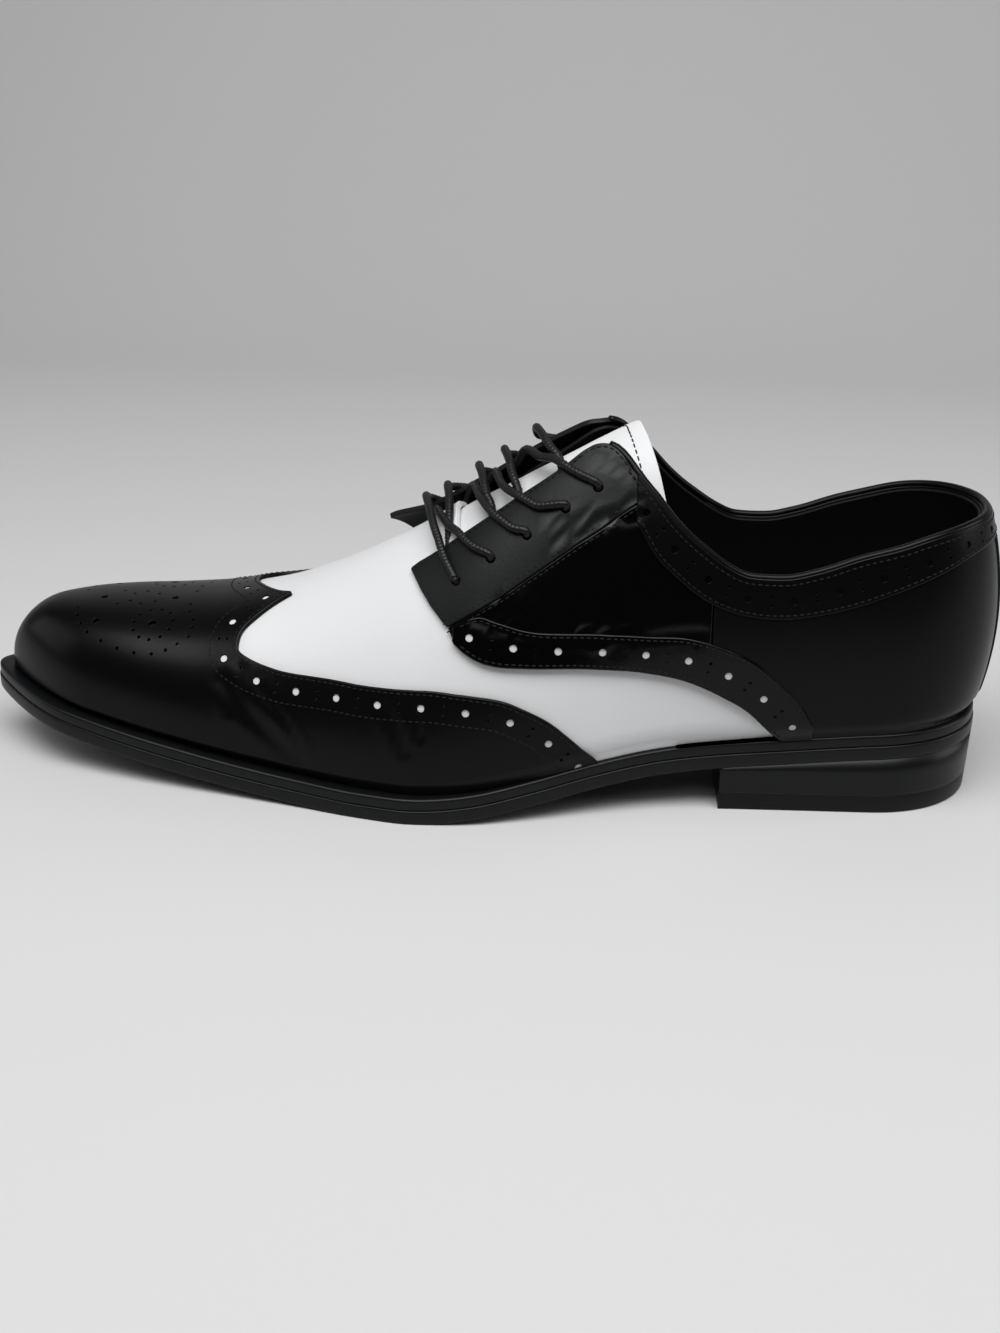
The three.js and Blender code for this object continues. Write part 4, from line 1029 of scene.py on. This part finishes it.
def smooth_path(points, steps=14):
    """Catmull-Rom curve through a few points."""
    points = np.asarray(points, float)
    padded = np.concatenate([2 * points[:1] - points[1:2], points, 2 * points[-1:] - points[-2:-1]])
    out = []
    for i in range(1, len(padded) - 2):
        p0, p1, p2, p3 = padded[i - 1:i + 3]
        for t in np.linspace(0, 1, steps, endpoint=False):
            out.append(0.5 * (2 * p1 + (p2 - p0) * t + (2 * p0 - 5 * p1 + 4 * p2 - p3) * t * t
                              + (3 * p1 - p0 - 3 * p2 + p3) * t ** 3))
    out.append(padded[-2])
    return np.array(out)


def even_path(points, pitch):
    length = np.concatenate([[0], np.cumsum(np.linalg.norm(np.diff(points, axis=0), axis=1))])
    at = np.linspace(0, length[-1], max(int(length[-1] / pitch), 2))
    return np.stack([np.interp(at, length, points[:, k]) for k in range(3)], -1), at


def lace(name, rows):
    """Braided cord through points of along, over, height over the last and share of the flap's lift."""
    points = []
    for along, over, height, share in rows:
        uv = np.array([[float(share_of(along)), over]])
        lift = float(flap_lift(uv)[0]) * share if over > 0 else 0.0
        points.append(OVER.base(uv)[0] + normals(OVER, uv)[0] * (height + lift))
    path, at = even_path(smooth_path(points), 0.3)
    tangent = unit(np.gradient(path, axis=0))
    sides = 20
    turn = np.linspace(0, 2 * math.pi, sides, endpoint=False)
    rings = []
    a = unit(np.cross(tangent[0], (0, 0, 1)))
    for point, direction, place in zip(path, tangent, at):
        a = unit(a - direction * (a @ direction))
        b = np.cross(direction, a)
        wave = 2 * math.pi * place / BRAID_PITCH
        weave = np.cos(BRAID_TURNS * turn + wave) * np.cos(BRAID_TURNS * turn - wave)
        radius = LACE_RADIUS * (1 + BRAID_DEPTH * weave)
        rings.append(point + radius[:, None] * (np.cos(turn)[:, None] * a + np.sin(turn)[:, None] * b))
    faces = []
    for i in range(len(rings) - 1):
        for j in range(sides):
            k = (j + 1) % sides
            faces.append((i * sides + j, i * sides + k, (i + 1) * sides + k, (i + 1) * sides + j))
    faces.append(tuple(range(sides)))
    faces.append(tuple(range((len(rings) - 1) * sides, len(rings) * sides)))
    return make_object(name, np.concatenate(rings), faces, lace_cord, "lace")


def into_eyelet(index, side, drift=0.0):
    """The last stretch of a lace, over the facing and down through its eyelet."""
    along, edge = EYELETS[index]
    over = side * (1 - edge)
    full = 1.0 if side > 0 else 0.0
    return [(along + drift, over - side * 0.045, ON_FLAP, full), (along + 0.2 * drift, over - side * 0.012, ON_FLAP - 0.5, full),
            (along, over, 0.4, full), (along, over + side * 0.004, -2.2, full)]


# Along, over, height, share of the flap's lift
UNDER = -1.2
BAR = [(0.512, -0.373, 2.5, 0), (0.517, -0.330, 2.9, 0), (0.522, -0.282, 2.9, 0), (0.527, -0.211, 3.4, 0),
       (0.531, -0.145, 4.2, 0), (0.535, -0.046, 5.2, 0), (0.540, 0.10, 7.0, 0), (0.542, 0.205, 2.4, 1),
       (0.538, 0.250, 2.9, 1), (0.527, 0.310, 2.9, 1)]
NEAR_GOING = [
    [(0.545, 0.26, 1.6, 0.3), (0.538, 0.09, 1.6, 0), (0.530, -0.063, 1.7, 0), (0.519, -0.170, 2.3, 0),
     (0.509, -0.231, 2.9, 0), (0.501, -0.281, 2.9, 0), (0.493, -0.319, 2.9, 0)],
    [(0.512, 0.30, 1.2, 0.4), (0.502, 0.15, 1.4, 0.2), (0.492, -0.110, 1.5, 0), (0.483, -0.194, 2.5, 0),
     (0.475, -0.248, 2.9, 0), (0.467, -0.288, 2.9, 0), (0.458, -0.327, 2.9, 0)],
    [(0.490, 0.29, 1.2, 0.4), (0.480, 0.15, 1.4, 0.2), (0.472, -0.111, 1.5, 0), (0.462, -0.188, 2.5, 0),
     (0.453, -0.233, 2.9, 0), (0.444, -0.272, 2.9, 0), (0.434, -0.307, 2.9, 0)],
    [(0.462, 0.25, 1.2, 0.4), (0.450, 0.08, 1.2, 0.2), (0.436, -0.099, 1.2, 0), (0.423, -0.161, 2.2, 0),
     (0.413, -0.212, 2.9, 0), (0.406, -0.246, 2.9, 0), (0.397, -0.281, 2.9, 0)],
]
FAR_GOING = [
    [(0.524, -0.26, UNDER, 0), (0.524, -0.19, -0.7, 0), (0.523, -0.144, 0.4, 0), (0.521, -0.107, 1.6, 0),
     (0.519, -0.02, 3.6, 0), (0.519, 0.10, 6.2, 0), (0.520, 0.20, 2.3, 1), (0.515, 0.240, 2.9, 1), (0.503, 0.290, 2.9, 1)],
    [(0.482, -0.26, UNDER, 0), (0.483, -0.19, -0.7, 0), (0.484, -0.153, 0.3, 0), (0.486, -0.119, 1.4, 0),
     (0.487, -0.03, 3.4, 0), (0.489, 0.10, 6.0, 0), (0.490, 0.205, 2.3, 1), (0.486, 0.240, 2.9, 1), (0.474, 0.290, 2.9, 1)],
    [(0.458, -0.26, UNDER, 0), (0.458, -0.19, -0.7, 0), (0.459, -0.155, 0.3, 0), (0.461, -0.108, 1.5, 0),
     (0.462, -0.03, 3.2, 0), (0.464, 0.09, 5.8, 0), (0.464, 0.19, 2.3, 1), (0.458, 0.232, 2.9, 1), (0.446, 0.280, 2.9, 1)],
    [(0.417, -0.26, UNDER, 0), (0.418, -0.19, -0.7, 0), (0.420, -0.146, 0.5, 0), (0.425, -0.099, 2.0, 0),
     (0.429, -0.03, 3.8, 0), (0.433, 0.08, 6.0, 0), (0.434, 0.17, 2.3, 1), (0.430, 0.215, 2.9, 1), (0.418, 0.262, 2.9, 1)],
]


def into_eyelet(index, side):
    """The last stretch of a lace, down through its eyelet."""
    along, edge = EYELETS[index]
    over, full = side * (1 - edge), 1.0 if side > 0 else 0.0
    return [(along + 0.001, over - side * 0.012, 2.3, full), (along, over, 0.5, full),
            (along, over + side * 0.004, -2.0, full)]


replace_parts(lace("lace_bar_cord", into_eyelet(0, -1)[::-1] + BAR + into_eyelet(0, 1)), "lace_bar")
for i, (near, far) in enumerate(zip(NEAR_GOING, FAR_GOING), 1):
    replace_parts(lace(f"lace_near_{i}", near + into_eyelet(i, -1)), f"lace_cross_{i}")
    lace(f"lace_far_{i}", far + into_eyelet(i, 1))

# Floor, backdrop and light
def plain(name, colour, roughness):
    material = bpy.data.materials.new(name)
    material.use_nodes = True
    shader = material.node_tree.nodes["Principled BSDF"]
    shader.inputs["Base Color"].default_value = (*colour, 1)
    shader.inputs["Roughness"].default_value = roughness
    return material


paper = plain("paper", (0.55, 0.55, 0.55), 0.85)
profile = [(-0.32, 0), (0.55, 0)]
profile += [(0.55 + 0.35 * math.sin(t), 0.35 - 0.35 * math.cos(t)) for t in np.linspace(0, math.pi / 2, 16)[1:]]
profile += [(0.9, 1.6)]
sweep = bpy.data.meshes.new("sweep")
points = [(x, y, z) for y, z in profile for x in (-2.2, 2.2)]
sweep.from_pydata(points, [], [(2 * i, 2 * i + 1, 2 * i + 3, 2 * i + 2) for i in range(len(profile) - 1)])
sweep.shade_smooth()
sweep.materials.append(paper)
floor = bpy.data.objects.new("sweep", sweep)
bpy.context.scene.collection.objects.link(floor)


def area_light(name, at, towards, size, power, colour=(1, 1, 1), size_y=None):
    light = bpy.data.lights.new(name, "AREA")
    light.shape = "RECTANGLE"
    light.size = size
    light.size_y = size_y or size
    light.energy = power
    light.color = colour
    lamp = bpy.data.objects.new(name, light)
    lamp.location = at
    lamp.rotation_euler = (Vector(towards) - Vector(at)).to_track_quat("-Z", "Y").to_euler()
    bpy.context.scene.collection.objects.link(lamp)
    return lamp


area_light("top", (0.0, -0.32, 0.85), (0, 0.05, 0.03), 1.1, 10.0, size_y=0.5)
area_light("left", (-0.95, 0.0, 0.42), (0, 0, 0.05), 0.6, 1.2)
area_light("right", (0.95, 0.0, 0.40), (0, 0, 0.05), 0.5, 2.2)
area_light("front", (0.0, -1.0, 1.5), (0, 0, 0.0), 1.3, 6.0)
area_light("rear", (0.0, 0.45, 1.1), (0, 0.3, 0.1), 0.9, 0.8)
world = bpy.data.worlds.new("world")
world.use_nodes = True
world.node_tree.nodes["Background"].inputs["Color"].default_value = (0.9, 0.92, 0.95, 1)
world.node_tree.nodes["Background"].inputs["Strength"].default_value = 0.03
bpy.context.scene.world = world
bpy.context.scene.view_settings.view_transform = "Standard"
